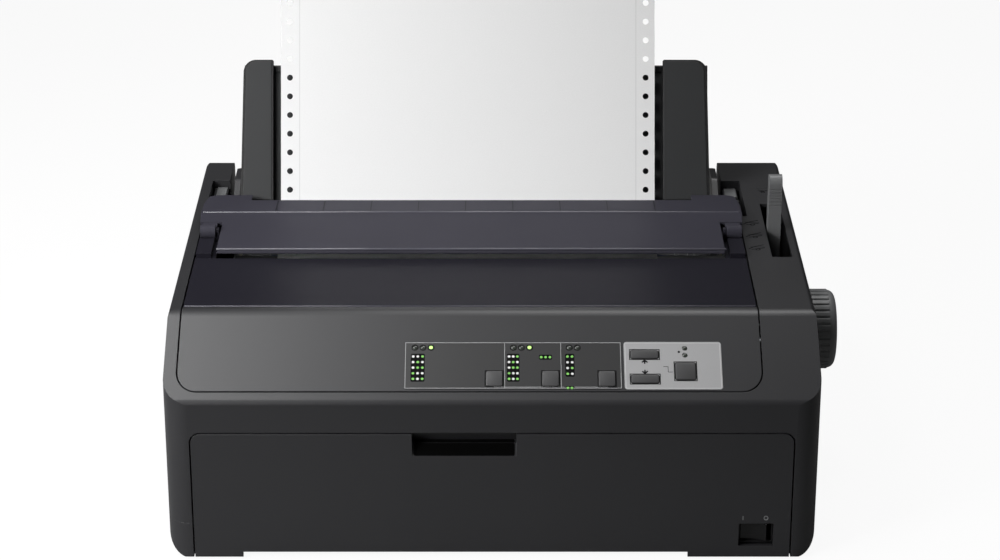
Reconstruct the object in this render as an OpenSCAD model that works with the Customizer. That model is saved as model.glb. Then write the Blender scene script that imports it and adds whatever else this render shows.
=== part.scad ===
// Desktop dot matrix printer with continuous paper on its tractors.
// X runs along the print line, Y from the front face to the rear, Z up from the surface it stands on.

/* [Case] */
// Width of the case over its side walls
case_w = 400; // [396:1:410]
// Depth of the case from the front face to the rear wall
case_d = 320; // [318:1:330]
// Height of the flat top of the case
case_top = 143; // [143:0.5:146]
// Height of the crease where the front face meets the control slope
crease_z = 107; // [104:0.5:108]
// Slope of the control face, in degrees from level
panel_slope = 32.6; // [31:0.1:34]
// Plan radius of the front corners
corner_r = 15; // [10:0.5:18]
// Plan radius of the rear corners
rear_corner_r = 11; // [8:0.5:14]
// Radius of the lower corners, seen from the front
base_r = 14; // [8:0.5:16]
// Radius along the top edges
top_edge_r = 3; // [2:0.5:6]
// Wall of the case mouldings
wall = 2.8; // [2.2:0.1:3.2]
// Height of the seam between the lower and the upper case
split_z = 25; // [23:0.5:27]
// Height of the bottom rim of the case over the surface
skirt_z = 1; // [0.8:0.1:1.5]
// Height of the underside plate over the surface
under_z = 3.5; // [3:0.1:4]

/* [Top cover and flap] */
// Width of the smoked printer cover
cover_w = 355; // [350:0.5:356]
// Sideways offset of the cover from the middle of the case
cover_off = -13.8; // [-14.5:0.1:-13]
// Distance of the cover's front edge from the front face
cover_front = 63.8; // [62:0.1:66]
// Thickness of the cover sheet
cover_t = 2.2; // [1.8:0.1:2.6]
// Front edge of the opening under the flap
window_front = 141; // [138:0.5:144]
// Front edge of the tear bar behind that opening
tear_bar_y = 208; // [206:0.5:212]
// Width of the two side arms of the cover
arm_w = 12.8; // [11:0.1:14]
// Distance from the front face to the cover hinge
cover_hinge_y = 246; // [244:0.5:248]
// Height of the cover hinge
cover_hinge_z = 138; // [137:0.1:138.5]
// Radius of the cover's hinge pins
cover_pin_r = 2.5; // [2:0.1:2.8]
// Overall width of the flap
flap_w = 359.4; // [357:0.2:360]
// Height of the flap's top face
flap_top = 149; // [148.5:0.1:151]
// Thickness of the flap sheet
flap_t = 2.2; // [1.8:0.1:2.4]
// Distance from the front face to the flap's pins
flap_hinge_y = 174; // [172:0.5:176]
// Outer radius of the flap's hinge barrels
barrel_r = 4.6; // [4:0.1:4.7]
// Length of each hinge barrel
barrel_len = 9.9; // [8:0.1:10.4]
// Radius of the flap's pins
flap_pin_r = 1.5; // [1.2:0.1:1.8]

/* [Front cover] */
// Width of the pull-down front cover
door_w = 366.8; // [362:0.2:368]
// Height of the front cover's top edge
door_top = 85.9; // [84:0.1:88]
// Thickness of the front cover
door_t = 3; // [2.6:0.1:3.2]
// Height of the front cover's hinge pins
door_hinge_z = 4.2; // [4:0.1:5]
// Radius of the front cover's hinge pins
door_pin_r = 1.6; // [1.4:0.1:1.8]
// Width of the finger recess in its top edge
grip_w = 63.7; // [60:0.1:70]
// Depth of the finger recess
grip_d = 10; // [9:0.5:11]

/* [Controls] */
// Side of the three small square keys
key_w = 10.3; // [9:0.1:11]
// Length of the two flat keys
flat_key_l = 17; // [15:0.1:18]
// Height of the two flat keys
flat_key_h = 6; // [5:0.1:7]
// Side of the pause key
pause_key_w = 12.4; // [11:0.1:13]
// How far the keys stand proud of the slope
key_proud = 0.9; // [0.5:0.1:1.2]
// Travel of the keys
key_travel = 1.2; // [0.8:0.1:1.5]
// Gap round each key
key_gap = 0.35; // [0.3:0.05:0.6]
// Radius of the indicator lights
led_r = 1.7; // [1.4:0.1:1.9]
// Width of the power rocker's window
rocker_w = 21.4; // [20.5:0.1:22]
// Height of the power rocker's window
rocker_h = 15.4; // [14.5:0.1:16]
// Tilt of the power rocker to each side
rocker_tilt = 9; // [7:0.5:10]

/* [Paper] */
// Width of the continuous paper
paper_w = 254; // [240:0.5:256]
// Thickness of the paper
paper_t = 0.25; // [0.2:0.01:0.3]
// Sideways offset of the paper from the middle of the case
paper_off = -16.6; // [-18:0.1:-16]
// Pitch of the sprocket holes
hole_pitch = 12.7; // [12.5:0.1:12.9]
// Radius of the sprocket holes
hole_r = 2; // [1.9:0.05:2.2]
// Distance of the holes from the paper's edge
hole_edge = 6.1; // [6:0.1:6.5]
// Height of the paper's top edge
paper_top = 280; // [270:1:300]

/* [Platen and gears] */
// Radius of the rubber platen
platen_r = 17.5; // [16.5:0.1:17.6]
// Distance of the platen from the front face
platen_y = 165; // [164:0.5:166]
// Height of the platen's axis
platen_z = 82.75; // [82:0.25:84]
// Radius of the platen shaft
shaft_r = 4; // [3.5:0.1:4.5]
// Outer radius of the platen knob
knob_r = 26.3; // [23:0.1:27]
// Width of the platen knob
knob_w = 24; // [20:0.1:25]
// Module of the feed gears
gear_m = 0.8; // [0.8:0.01:0.81]
// Teeth on the platen gear and on both idlers
gear_n = 48; // [48:1:48]
// Teeth on the tractor gear
tractor_n = 43; // [43:1:43]
// Teeth on the feed motor's pinion
pinion_n = 14; // [14:1:14]
// Width of the feed gears
gear_w = 5.6; // [5:0.1:6]

/* [Tractors] */
// Distance from the front face to the tractor shaft
tractor_y = 275; // [274:0.5:276]
// Height of the tractor shaft
tractor_z = 88; // [87.5:0.25:89]
// Side of the square tractor shaft
square_w = 6; // [5.5:0.1:6.4]
// Radius of the tractor support rod
rod_r = 4; // [3.5:0.1:4.2]
// Number of pins on each sprocket
pin_count = 8; // [8:1:8]
// Length of each tractor frame
tractor_len = 50; // [46:1:52]

/* [Print mechanism] */
// Radius of the carriage shaft
carriage_rod_r = 5; // [4.5:0.1:5.5]
// Distance of the carriage shaft from the front face
carriage_y = 110; // [109:0.5:111]
// Height of the carriage shaft
carriage_z = 58; // [57:0.5:59]
// Place of the print head when it is parked, from the middle of the case
carriage_home = -128; // [-130:0.5:-126]
// Width of the carriage
carriage_w = 44; // [40:1:46]
// Pitch radius of the belt pulleys
pulley_r = 6.4; // [6:0.1:6.6]
// Clear gap between the print head, the ribbon and the paper
print_gap = 0.4; // [0.35:0.05:0.5]

/* [Levers and paper guide] */
// Height of the top of the paper release lever
lever_top = 180; // [175:0.5:185]
// Width of the paper release lever
lever_w = 8.5; // [7.5:0.1:9]
// Lean of the paper guide from upright, in degrees
guide_lean = 23; // [22:0.5:24]
// Length of the paper guide from its pins to its top edge
guide_len = 94.8; // [92:0.1:98]
// Width of the paper guide
guide_w = 316; // [314:0.5:317]
// Thickness of the paper guide
guide_t = 3; // [2.5:0.1:3.5]
// Width of the left edge guide
edge_left_w = 20.1; // [18:0.1:22]
// Width of the right edge guide
edge_right_w = 29.8; // [28:0.1:32]

/* [Hidden] */
$fn = 64;

// Clearances: seams between fixed mouldings, running fits, and air round what moves.
seam = 0.9;
fit = 0.05;
air = 0.4;
over = 1;

// The row's origin is under the middle of everything, the knob included.
knob_gap = 1.2;
knob_out = knob_gap + knob_w;
case_x = -knob_out / 2;
front_y = -case_d / 2;
half_w = case_w / 2;
inner_w = half_w - wall;

slope_y = (case_top - crease_z) / tan(panel_slope);
slope_len = (case_top - crease_z) / sin(panel_slope);

// The opening in the top that the cover and the control panel share
cover_gap = 1.1;
open_l = cover_off - cover_w / 2 - cover_gap;
open_r = cover_off + cover_w / 2 + cover_gap;
open_front = 6.2;
open_corner = 13;
insert_rear = cover_front - 1.8;
well_rear = 250;
rear_sill = 100;

// Finger slot of the paper release lever
slot_l = half_w - 19.5;
slot_r = half_w - 6.2;
slot_front = 143;
slot_rear = 237;
lever_x = half_w - 13.9;
lever_y = 189;
lever_z = 60;

// Middle of the paper guide, the inner faces of the side frames, the rear blocks' inner sides
guide_x = -11;
frame_l = guide_x - guide_w / 2 - 6;
frame_r = guide_x + guide_w / 2 + 12;
rear_l = frame_l - 5.6;
rear_r = frame_r - 1.4;
frame_t = 1.6;
frame_front = 60;
frame_rear = 300;
frame_top = 112;
frame_rear_top = 101;
bracket_low = frame_rear_top + 1.6;
pan_z = 7;
pan_t = 1.5;

// Paper path: tractor run, guide bar, platen, exit bend, paper guide
hub_r = pin_count * hole_pitch / 360 * 180 / PI - 0.37;
run_z = tractor_z + hub_r + 0.3 + paper_t / 2;
tail_y = tractor_y + 27;
wrap_r = platen_r + 0.3 + paper_t / 2;
bar_r = 10;
bar_c = [238, run_z - bar_r];
platen_c = [platen_y, platen_z];
exit_at = [251.6, case_top];
exit_r = 30;
lean_dir = [sin(guide_lean), cos(guide_lean)];
exit_c = exit_at + exit_r * [-lean_dir[1], lean_dir[0]];
function polar(a) = [cos(a), sin(a)];
function angle_of(v) = atan2(v[1], v[0]);
bar_span = sqrt(pow(norm(platen_c - bar_c), 2) - pow(bar_r + wrap_r, 2));
bar_end = angle_of(platen_c - bar_c) + 360 - atan2(bar_span, bar_r + wrap_r);
exit_span = sqrt(pow(norm(exit_c - platen_c), 2) - pow(exit_r + wrap_r, 2));
leave = angle_of(exit_c - platen_c) + atan2(exit_span, exit_r + wrap_r);
guide_run = (paper_top - exit_at[1]) / lean_dir[1];
paper_l = paper_off - paper_w / 2;
paper_r = paper_off + paper_w / 2;
holes_l = paper_l + hole_edge;
holes_r = paper_r - hole_edge;

// Gear train, from the platen to the rear: centres in Y and Z
gear_r = gear_n * gear_m / 2;
tractor_gear_r = tractor_n * gear_m / 2;
pinion_r = pinion_n * gear_m / 2;
tractor_c = [tractor_y, tractor_z];
idler_f = platen_c + 2 * gear_r * polar(angle_of(tractor_c - platen_c));
function third(a, ra, b, rb) =
  let (d = norm(b - a), t = acos((ra * ra + d * d - rb * rb) / (2 * ra * d)))
  a + ra * polar(angle_of(b - a) - t);
idler_b = third(idler_f, 2 * gear_r, tractor_c, gear_r + tractor_gear_r);
pinion_dir = -70;
pinion_c = idler_f + (gear_r + pinion_r) * polar(pinion_dir);
gear_x = frame_r + frame_t + 1;
function meshed(phase, n1, dir, n2) =
  let (u = (dir - phase) * n1 / 360) dir + 180 + ((u - floor(u)) * 360 + 180) / n2;
phase_f = meshed(0, gear_n, angle_of(idler_f - platen_c), gear_n);
phase_b = meshed(phase_f, gear_n, angle_of(idler_b - idler_f), gear_n);
phase_t = meshed(phase_b, gear_n, angle_of(tractor_c - idler_b), tractor_n);
phase_p = meshed(phase_f, gear_n, pinion_dir, pinion_n);

// Print line
paper_face = platen_y - wrap_r - paper_t / 2;
ribbon_t = 0.2;
ribbon_y = paper_face - print_gap - ribbon_t;
nose_y = ribbon_y - print_gap;
belt_y = 84;
belt_z = 38;
belt_w = 6;
belt_t = 1.2;
drive_x = frame_r - 19;
idler_x = frame_l + 15;
rail_y = 64;
rail_z = 60;

// Paper guide and its pins
guide_pin = [266, 131];
guide_pin_r = 2.5;
guide_face = 9.4;

// Front cover
door_gap = seam;
door_axis_y = door_t;
grip_x = -17;
rocker_x = 162.4;
rocker_z = 17.1;
rocker_pin_y = 12;
front_wall_y = 8;

function unit(v) = v / norm(v);
function turn_left(v) = [-v[1], v[0]];
// Outline drawn in by t all round (points run anticlockwise)
function drawn_in(p, t) = [
  for (i = [0:len(p) - 1])
    let (
      b = p[i],
      n1 = turn_left(unit(b - p[(i + len(p) - 1) % len(p)])),
      n2 = turn_left(unit(p[(i + 1) % len(p)] - b))
    ) b + (n1 + n2) * t / (1 + n1 * n2)];
// Centres of the corner rounds, and where each round meets the straight edges
function round_centre(p, r, i) =
  let (
    b = p[i],
    n1 = turn_left(unit(b - p[(i + len(p) - 1) % len(p)])),
    n2 = turn_left(unit(p[(i + 1) % len(p)] - b))
  ) b + (n1 + n2) * r[i] / (1 + n1 * n2);
function round_ends(p, r, i) =
  let (
    c = round_centre(p, r, i),
    n1 = turn_left(unit(p[i] - p[(i + len(p) - 1) % len(p)])),
    n2 = turn_left(unit(p[(i + 1) % len(p)] - p[i]))
  ) [c - n1 * r[i], c - n2 * r[i]];
// Convex outline with a true round on each corner
module rounded(p, r) {
  polygon([for (i = [0:len(p) - 1]) each round_ends(p, r, i)]);
  for (i = [0:len(p) - 1])
    translate(round_centre(p, r, i)) circle(r = r[i]);
}
function box_pts(x0, y0, x1, y1) = [[x0, y0], [x1, y0], [x1, y1], [x0, y1]];
module round_box(x0, y0, x1, y1, r) {
  rounded(box_pts(x0, y0, x1, y1), [r, r, r, r]);
}

// Placing helpers: the body frame has its zero at the middle of the front face
module at_body() {
  translate([case_x, front_y, 0]) children();
}
module block(lo, hi) {
  translate(lo) cube(hi - lo);
}
// A YZ outline carried along X, from x0 for a length w
module along_x(x0, w) {
  translate([x0, 0, 0]) rotate([90, 0, 90]) linear_extrude(w) children();
}
module rod_x(x0, w, c, r) {
  translate([x0, c[0], c[1]]) rotate([0, 90, 0]) cylinder(r = r, h = w);
}
// Control slope: x along, y up the slope from the crease, z out of the face
module at_slope() {
  translate([0, 0, crease_z]) rotate([panel_slope, 0, 0]) children();
}
// Paper guide: x along, y to its rear, z up along its face, from the pins
module at_guide() {
  translate([0, guide_pin[0], guide_pin[1]]) rotate([-guide_lean, 0, 0]) children();
}

// ---------- Case mouldings ----------

side_pts = [[0, skirt_z], [case_d, skirt_z], [case_d, case_top], [slope_y, case_top],
  [0, crease_z]];
side_r = [2, 4, 6, 12, 4];

// The outer form of the case, drawn in by t
module case_form(t) {
  intersection() {
    along_x(-half_w, case_w) rounded(drawn_in(side_pts, t), [for (r = side_r) max(r - t, 0.6)]);
    linear_extrude(case_top + over)
      rounded(drawn_in(box_pts(-half_w, 0, half_w, case_d), t),
        [for (r = [corner_r, corner_r, rear_corner_r, rear_corner_r]) max(r - t, 0.6)]);
    translate([0, case_d + over, 0]) rotate([90, 0, 0]) linear_extrude(case_d + 2 * over)
      rounded(drawn_in(box_pts(-half_w, skirt_z, half_w, case_top), t),
        [for (r = [base_r, base_r, top_edge_r, top_edge_r]) max(r - t, 0.6)]);
  }
}

// Prism of the front cover's opening, from y0 to y1, grown by g
module door_prism(g, y0, y1) {
  translate([0, y1, 0]) rotate([90, 0, 0]) linear_extrude(y1 - y0)
    rounded(box_pts(-door_w / 2 - g, -20, door_w / 2 + g, door_top + g), [1, 1, 6 + g, 6 + g]);
}

vent_pitch = 8;
vent_count = 12;
socket_x = frame_r - 27;

module lower_case() {
  color([0.13, 0.13, 0.14]) at_body() difference() {
    union() {
      difference() {
        case_form(0);
        intersection() {
          case_form(wall);
          block([-half_w, 0, under_z + wall], [half_w, case_d, case_top]);
        }
        // the underside is recessed inside the rim
        translate([0, 0, -over]) linear_extrude(under_z + over)
          round_box(-inner_w + 8, wall + 6, inner_w - 8, case_d - wall - 6, 8);
        block([-half_w - over, -over, split_z], [half_w + over, case_d + over, case_top + over]);
        door_prism(door_gap, -over, front_wall_y);
      }
      // wall behind the front cover
      block([-door_w / 2 - 3, front_wall_y, under_z], [door_w / 2 + 3, front_wall_y + 2.4, split_z]);
      // lip that the upper case sits round, rooted in the wall below the seam
      difference() {
        translate([0, 0, split_z - 5]) for (l = [[-fit, 8], [0.3, 4.8]]) linear_extrude(l[1])
          round_box(-inner_w - l[0], wall + 8, inner_w + l[0], case_d - wall + l[0], 8.8);
        translate([0, 0, split_z - 5 - over]) linear_extrude(8 + 2 * over)
          round_box(-inner_w + 2, wall + 10, inner_w - 2, case_d - wall - 2, 6.5);
        block([-door_w / 2 - 4, 0, split_z - 6], [door_w / 2 + 4, 22, split_z + 6]);
      }
      // ears of the front cover's pins
      for (s = [-1, 1])
        block([s * (door_w / 2 + 4.2) - 3.3, wall - 0.2, under_z - 1.5],
          [s * (door_w / 2 + 4.2) + 3.3, front_wall_y + 1, 11]);
      // posts under the chassis
      for (x = [-150, 130], y = [60, 180, 285])
        translate([x, y, under_z + wall - 0.2]) cylinder(r = 5, h = pan_z - under_z - wall + 0.2);
    }
    // lip is open behind the connectors and the mains inlet
    block([-114, case_d - 10, 26.5], [10, case_d - wall, 30]);
    block([socket_x - 16, case_d - 10, 26.5], [socket_x + 16, case_d - wall, 30]);
    for (s = [-1, 1])
      rod_x(s > 0 ? door_w / 2 : -door_w / 2 - 5.4, 5.4, [door_axis_y, door_hinge_z],
        door_pin_r + fit);
    // window of the power switch
    block([rocker_x - rocker_w / 2, -over, rocker_z - rocker_h / 2],
      [rocker_x + rocker_w / 2, 20, rocker_z + rocker_h / 2]);
    // underside cut at the front, between the two side blocks
    block([-153.8, -over, -over], [120.8, 20, under_z]);
    // vents in the underside
    for (i = [0:vent_count - 1])
      translate([-100 + i * vent_pitch * 2, 228, -over]) linear_extrude(12)
        round_box(-1.6, -26, 1.6, 26, 1.5);
    for (x = foot_at_x, y = foot_at_y)
      translate([x, y, under_z - over]) cylinder(r = 1.6, h = 8);
  }
}

foot_at_x = [-168, 150];
foot_at_y = [34, 288];

module rubber_feet() {
  color([0.06, 0.06, 0.06]) at_body()
    for (x = foot_at_x, y = foot_at_y) translate([x, y, 0]) {
      rotate_extrude() polygon([[0, 0], [7.6, 0], [8.6, 1], [8.6, under_z], [0, under_z]]);
      translate([0, 0, under_z]) cylinder(r = 1.5, h = wall);
    }
}

// Opening in the top of the case, seen from above
module top_opening() {
  rounded(box_pts(open_l, open_front, open_r, well_rear), [open_corner, open_corner, 0.5, 0.5]);
  translate([rear_l, well_rear - over]) square([rear_r - rear_l, case_d - well_rear + 2 * over]);
  translate([open_l, well_rear - over]) square([rear_l - open_l + over, 281 - well_rear + over]);
  translate([open_r - over, 214]) square([170.2 - open_r + over, 65.6]);
  translate([rear_r - over, well_rear - over]) square([170.2 - rear_r + over, 279.6 - well_rear + over]);
}

module upper_case() {
  color([0.16, 0.16, 0.17]) at_body() difference() {
    union() {
      difference() {
        case_form(0);
        case_form(wall);
        block([-half_w - over, -over, -over], [half_w + over, case_d + over, split_z]);
        translate([0, 0, rear_sill]) linear_extrude(case_top) top_opening();
        translate([0, 0, 60]) linear_extrude(case_top) intersection() {
          top_opening();
          square_at(-half_w, 0, half_w, well_rear);
        }
        door_prism(door_gap, -over, 20);
        // the rear is open over the sill between the two rear blocks
        block([rear_l, case_d - 30, rear_sill], [rear_r, case_d + over, case_top + over]);
      }
      // frame round the front cover
      intersection() {
        difference() {
          door_prism(door_gap + 2.2, wall - 0.2, 12);
          door_prism(door_gap, -over, 20);
        }
        block([-half_w, 0, split_z], [half_w, 20, case_top]);
      }
      // inner walls of the two rear blocks
      block([rear_l - 2.2, 281, rear_sill - 5], [rear_l, case_d - wall + 0.2, case_top - wall + 0.2]);
      block([rear_r, 279.6, frame_rear_top + 1], [rear_r + 2.2, case_d - wall + 0.2, case_top - wall + 0.2]);
      block([rear_r, frame_rear + 2, rear_sill - 5], [rear_r + 2.2, case_d - wall + 0.2, case_top - wall]);
      // sill of the paper inlet
      block([rear_l - 2.2, case_d - 14, rear_sill - 2.4], [rear_r + 2.2, case_d - wall + 0.2, rear_sill]);
      // brackets that carry the paper guide's pins
      for (x = [guide_x - guide_w / 2 - 7.4, guide_x + guide_w / 2 + 3.4]) {
        along_x(x, 4) rounded([[259, bracket_low], [case_d - 2, bracket_low], [case_d - 2, 138],
          [292, 147.4], [273, 147.4], [259, 139]], [1, 1, 3, 6, 6, 3]);
        block([x, case_d - 14, rear_sill - 2.4], [x + 4, case_d - 3, bracket_low + 2]);
      }
      // seats in the pockets behind the cover arms
      block([open_l + 1.4, 262, 108], [rear_l - 1, 283.4, 137]);
      block([rear_r + 1, 262, 108], [168, 281.6, 137]);
      // walls down the pockets
      block([open_l - 2, 260, 108], [open_l, 283.4, case_top - wall + 0.2]);
      block([open_l - 2, 281, 108], [rear_l + 0.2, 283.4, case_top - wall + 0.2]);
      block([rear_r, 279.6, 108], [172.4, 281.8, case_top - wall + 0.2]);
      block([170.2, 212, 108], [172.4, 281.8, case_top - wall + 0.2]);
      // ears of the cover hinge
      block([-inner_w - 0.2, cover_hinge_y - 7, 128], [open_l - 0.2, cover_hinge_y + 6, case_top - wall + 0.2]);
      block([open_r + 0.2, 208, 129], [open_r + 3.2, cover_hinge_y + 6, case_top - wall - 0.4]);
      block([open_r + 0.2, 206, 129], [open_r + 6, 212, case_top - wall + 0.2]);
      // rim along the right side of the cover
      block([open_r, cover_front, 133], [open_r + 2, 206.2, case_top - wall + 0.2]);
      // ledge that carries the control panel along the crease
      at_slope() block([open_l + 4, 3, -6.4], [open_r - 4, 9.8, -3.3]);
      at_slope() block([open_l + 4, 3, -6.4], [open_r - 4, 5.6, -2.6]);
      // screw bosses
      for (x = [-193, 193], y = [60, 296])
        translate([x, y, split_z + 3.4]) difference() {
          cylinder(r = 4.5, h = 26.6);
          translate([0, 0, -over]) cylinder(r = 1.7, h = 24);
        }
    }
    // platen knob's hole
    rod_x(inner_w - over, wall + 2 * over, platen_c, 9);
    // slot of the release lever
    translate([0, 0, case_top - 20]) linear_extrude(40)
      round_box(slot_l, slot_front, slot_r, slot_rear, 1.5);
    // pin holes of the paper guide and of the printer cover
    rod_x(guide_x - guide_w / 2 - 8.6, guide_w + 17.2, guide_pin, guide_pin_r + fit);
    rod_x(open_l - 4.6, 6, [cover_hinge_y, cover_hinge_z], cover_pin_r + fit);
    rod_x(open_r - over, 6, [cover_hinge_y, cover_hinge_z], cover_pin_r + fit);
    // socket and interface windows in the rear wall
    block([socket_x - 14.2, case_d - 20, 27], [socket_x + 14.2, case_d + over, 48]);
    block([-112.4, case_d - 20, 27], [-67.6, case_d + over, 42.4]);
    block([-50.4, case_d - 20, 27], [-37.6, case_d + over, 40.4]);
    block([-25.4, case_d - 20, 27], [8.4, case_d + over, 40.4]);
    // vents in the rear wall
    for (i = [0:vent_count - 1])
      translate([30 + i * vent_pitch, case_d + over, 0]) rotate([90, 0, 0]) linear_extrude(20)
        round_box(-1.6, 60, 1.6, 84, 1.5);
    // short marks beside the lever's stops
    for (y = [160, 181, 203]) block([168, y - 0.4, case_top - 0.4], [177.4, y + 0.4, case_top + over]);
    block([181, 265.6, case_top - 0.4], [189, 266.4, case_top + over]);
  }
}

// ---------- Control panel ----------

// Keys on the slope: middle x, height up the slope, width and height
key_row = 17;
key_up = [1.2, key_row, key_w, key_w + 0.6];
key_down = [35.4, key_row, key_w, key_w + 0.6];
key_set = [69.7, key_row, key_w, key_w + 0.6];
key_load = [92.9, 34.5, flat_key_l, flat_key_h];
key_feed = [92.9, 16.8, flat_key_l, flat_key_h];
key_pause = [117.6, 22.4, pause_key_w, pause_key_w];
keys = [key_up, key_down, key_set, key_load, key_feed, key_pause];
led_row = 39.5;
led_at = [[-47.2, led_row], [-42.3, led_row], [-37.4, led_row], [13, led_row], [17.9, led_row],
  [22.8, led_row], [47.1, led_row], [52, led_row], [117.6, 39.1], [117.6, 34.1]];
overlay_t = 0.3;
board_depth = 12.4;
board_t = 1.6;

module key_outline(k, g) {
  round_box(k[0] - k[2] / 2 - g, k[1] - k[3] / 2 - g, k[0] + k[2] / 2 + g, k[1] + k[3] / 2 + g,
    1.2 + g);
}

module control_panel() {
  color([0.18, 0.18, 0.19]) at_body() difference() {
    union() {
      intersection() {
        difference() {
          case_form(0);
          case_form(2.5);
        }
        translate([0, 0, 60]) linear_extrude(case_top)
          rounded(box_pts(open_l + seam, open_front + seam, open_r - seam, insert_rear),
            [open_corner - seam, open_corner - seam, 0.6, 0.6]);
      }
      // stiffening ribs along the sides and under the rear edge
      intersection() {
        difference() {
          case_form(2.3);
          case_form(9);
        }
        for (x = [open_l + seam + 12, open_r - seam - 14])
          block([x, open_front + 8, 60], [x + 2, insert_rear, case_top]);
      }
      block([open_l + 12, insert_rear - 2, case_top - 9], [open_r - 12, insert_rear, case_top - 2.3]);
      // posts that the key board is screwed to
      at_slope() for (x = [-58, 10, 60, 145])
        translate([x, x < 100 ? 46 : 44, board_t - board_depth])
          cylinder(r = 2.2, h = board_depth - board_t - 2.3);
      // guide collars round the keys
      at_slope() translate([0, 0, -6]) linear_extrude(3.8) for (k = keys) key_outline(k, key_gap + 1.2);
    }
    at_slope() translate([0, 0, -8]) linear_extrude(12) for (k = keys) key_outline(k, key_gap);
    at_slope() for (p = led_at)
      translate([p[0], p[1], -8]) cylinder(r = led_r + fit, h = 12);
  }
}

// Printed sheets stuck on the slope, open round the keys and the lights
module overlay_sheet(x0, x1, y0, y1) {
  at_body() at_slope() difference() {
    linear_extrude(overlay_t) difference() {
      round_box(x0, y0, x1, y1, 2);
      for (k = keys) key_outline(k, key_gap);
    }
    for (p = led_at) translate([p[0], p[1], -over]) cylinder(r = led_r + fit, h = 4);
  }
}
module panel_overlay() {
  color([0.25, 0.25, 0.26]) overlay_sheet(-53.5, 78.9, 9.7, 43.7);
}
module status_overlay() {
  color([0.62, 0.62, 0.62]) overlay_sheet(80.3, 139.9, 9.4, 43.7);
}

// Light guides of the indicators, each with a domed end
module led_lights() {
  dome = 0.5;
  color([0.35, 0.8, 0.25]) at_body() at_slope() for (p = led_at)
    translate([p[0], p[1], board_t - board_depth]) rotate_extrude() {
      square([led_r, board_depth - board_t]);
      translate([0, board_depth - board_t - over]) intersection() {
        translate([0, over + dome - led_r * 2]) circle(r = led_r * 2);
        square([led_r, 4]);
      }
    }
}

module panel_board() {
  color([0.1, 0.35, 0.15]) at_body() at_slope() {
    block([-64, 5, -board_depth], [150, 49, board_t - board_depth]);
    for (k = keys) {
      block([k[0] - 3, k[1] - 3, board_t - board_depth], [k[0] + 3, k[1] + 3, 3.2 - board_depth]);
      translate([k[0], k[1], 3.2 - board_depth]) cylinder(r = 1.4, h = 0.5);
    }
  }
}

module key_button(k) {
  color([0.22, 0.22, 0.23]) at_body() at_slope() {
    crown = 0.5;
    translate([0, 0, -5.8]) linear_extrude(5.8 + key_proud - crown) key_outline(k, 0);
    translate([0, 0, key_proud - crown]) linear_extrude(crown) key_outline(k, -0.45);
    // collar that keeps the key in its well, and the stem over the switch
    translate([0, 0, -7.1]) linear_extrude(1) key_outline(k, key_gap + 0.9);
    translate([k[0], k[1], -7.2]) cylinder(r = 1.9, h = 2);
    translate([0, 0, -6.2]) linear_extrude(0.5) key_outline(k, 0);
  }
}
module button_item_up() { key_button(key_up); }
module button_item_down() { key_button(key_down); }
module button_set() { key_button(key_set); }
module button_load() { key_button(key_load); }
module button_feed() { key_button(key_feed); }
module button_pause() { key_button(key_pause); }

// ---------- Front cover and power switch ----------

module front_cover() {
  low = skirt_z + 0.2;
  grip_l = grip_x - grip_w / 2;
  grip_r = grip_x + grip_w / 2;
  color([0.14, 0.14, 0.15]) at_body() {
    difference() {
      union() {
        // the sheet, rounded along its lower edge
        intersection() {
          door_prism(0, -over, door_t + over);
          along_x(-door_w / 2, door_w)
            rounded([[0, low], [door_t, low], [door_t, door_top], [0, door_top]],
              [2 - 0.6, 1.4, 0.8, 0.8]);
        }
        // rim behind the edges
        difference() {
          door_prism(-1.2, door_t - 0.2, 9);
          door_prism(-3.4, 0, 10);
          block([-half_w, 0, -30], [half_w, 20, 30]);
          block([grip_l - 3, 0, 60], [grip_r + 3, 20, 100]);
        }
        // cup behind the finger recess
        block([grip_l - 2, door_t - 0.2, 68.5], [grip_r + 2, grip_d + 2, door_top - 0.9]);
        // stiffening ribs
        for (x = [-140, -95, 60, 105]) block([x, door_t - 0.2, 32], [x + 1.8, 7, 83]);
      }
      // finger recess: a slope up to a ledge, then the open cup
      along_x(grip_l, grip_w)
        polygon([[-over, 70], [0, 71], [5, 77.7], [grip_d, 77.7], [grip_d, 95], [-over, 95]]);
      // lower edge is cut up between the two side blocks
      block([-153.8, -over, -over], [120.8, 20, 5.2]);
      block([rocker_x - rocker_w / 2, -over, rocker_z - rocker_h / 2],
        [rocker_x + rocker_w / 2, 20, rocker_z + rocker_h / 2]);
    }
    // hinge pins and the knuckles that carry them
    for (s = [-1, 1]) {
      rod_x(s > 0 ? door_w / 2 - 8 : -door_w / 2 - 4.4, 12.4, [door_axis_y, door_hinge_z],
        door_pin_r);
      rod_x(s > 0 ? door_w / 2 - 8 : -door_w / 2, 8, [door_axis_y, door_hinge_z], 2.8);
    }
  }
}

// Housing of the power switch, open to the front
module switch_body() {
  h = rocker_h - 0.4;
  w = rocker_w - 0.4;
  color([0.05, 0.05, 0.05]) at_body() difference() {
    union() {
      block([rocker_x - w / 2, door_t + 1, rocker_z - h / 2],
        [rocker_x + w / 2, 30, rocker_z + h / 2]);
      for (x = [-5, 5]) block([rocker_x + x - 2, 30, rocker_z - 0.4],
        [rocker_x + x + 2, 37, rocker_z + 0.4]);
    }
    block([rocker_x - w / 2 + 0.8, 0, rocker_z - h / 2 + 1.4],
      [rocker_x + w / 2 - 0.8, 24, rocker_z + h / 2 - 1.4]);
    translate([rocker_x, rocker_pin_y, rocker_z - h / 2 + 0.4])
      cylinder(r = 1.2 + fit, h = h - 0.8);
  }
}

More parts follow.
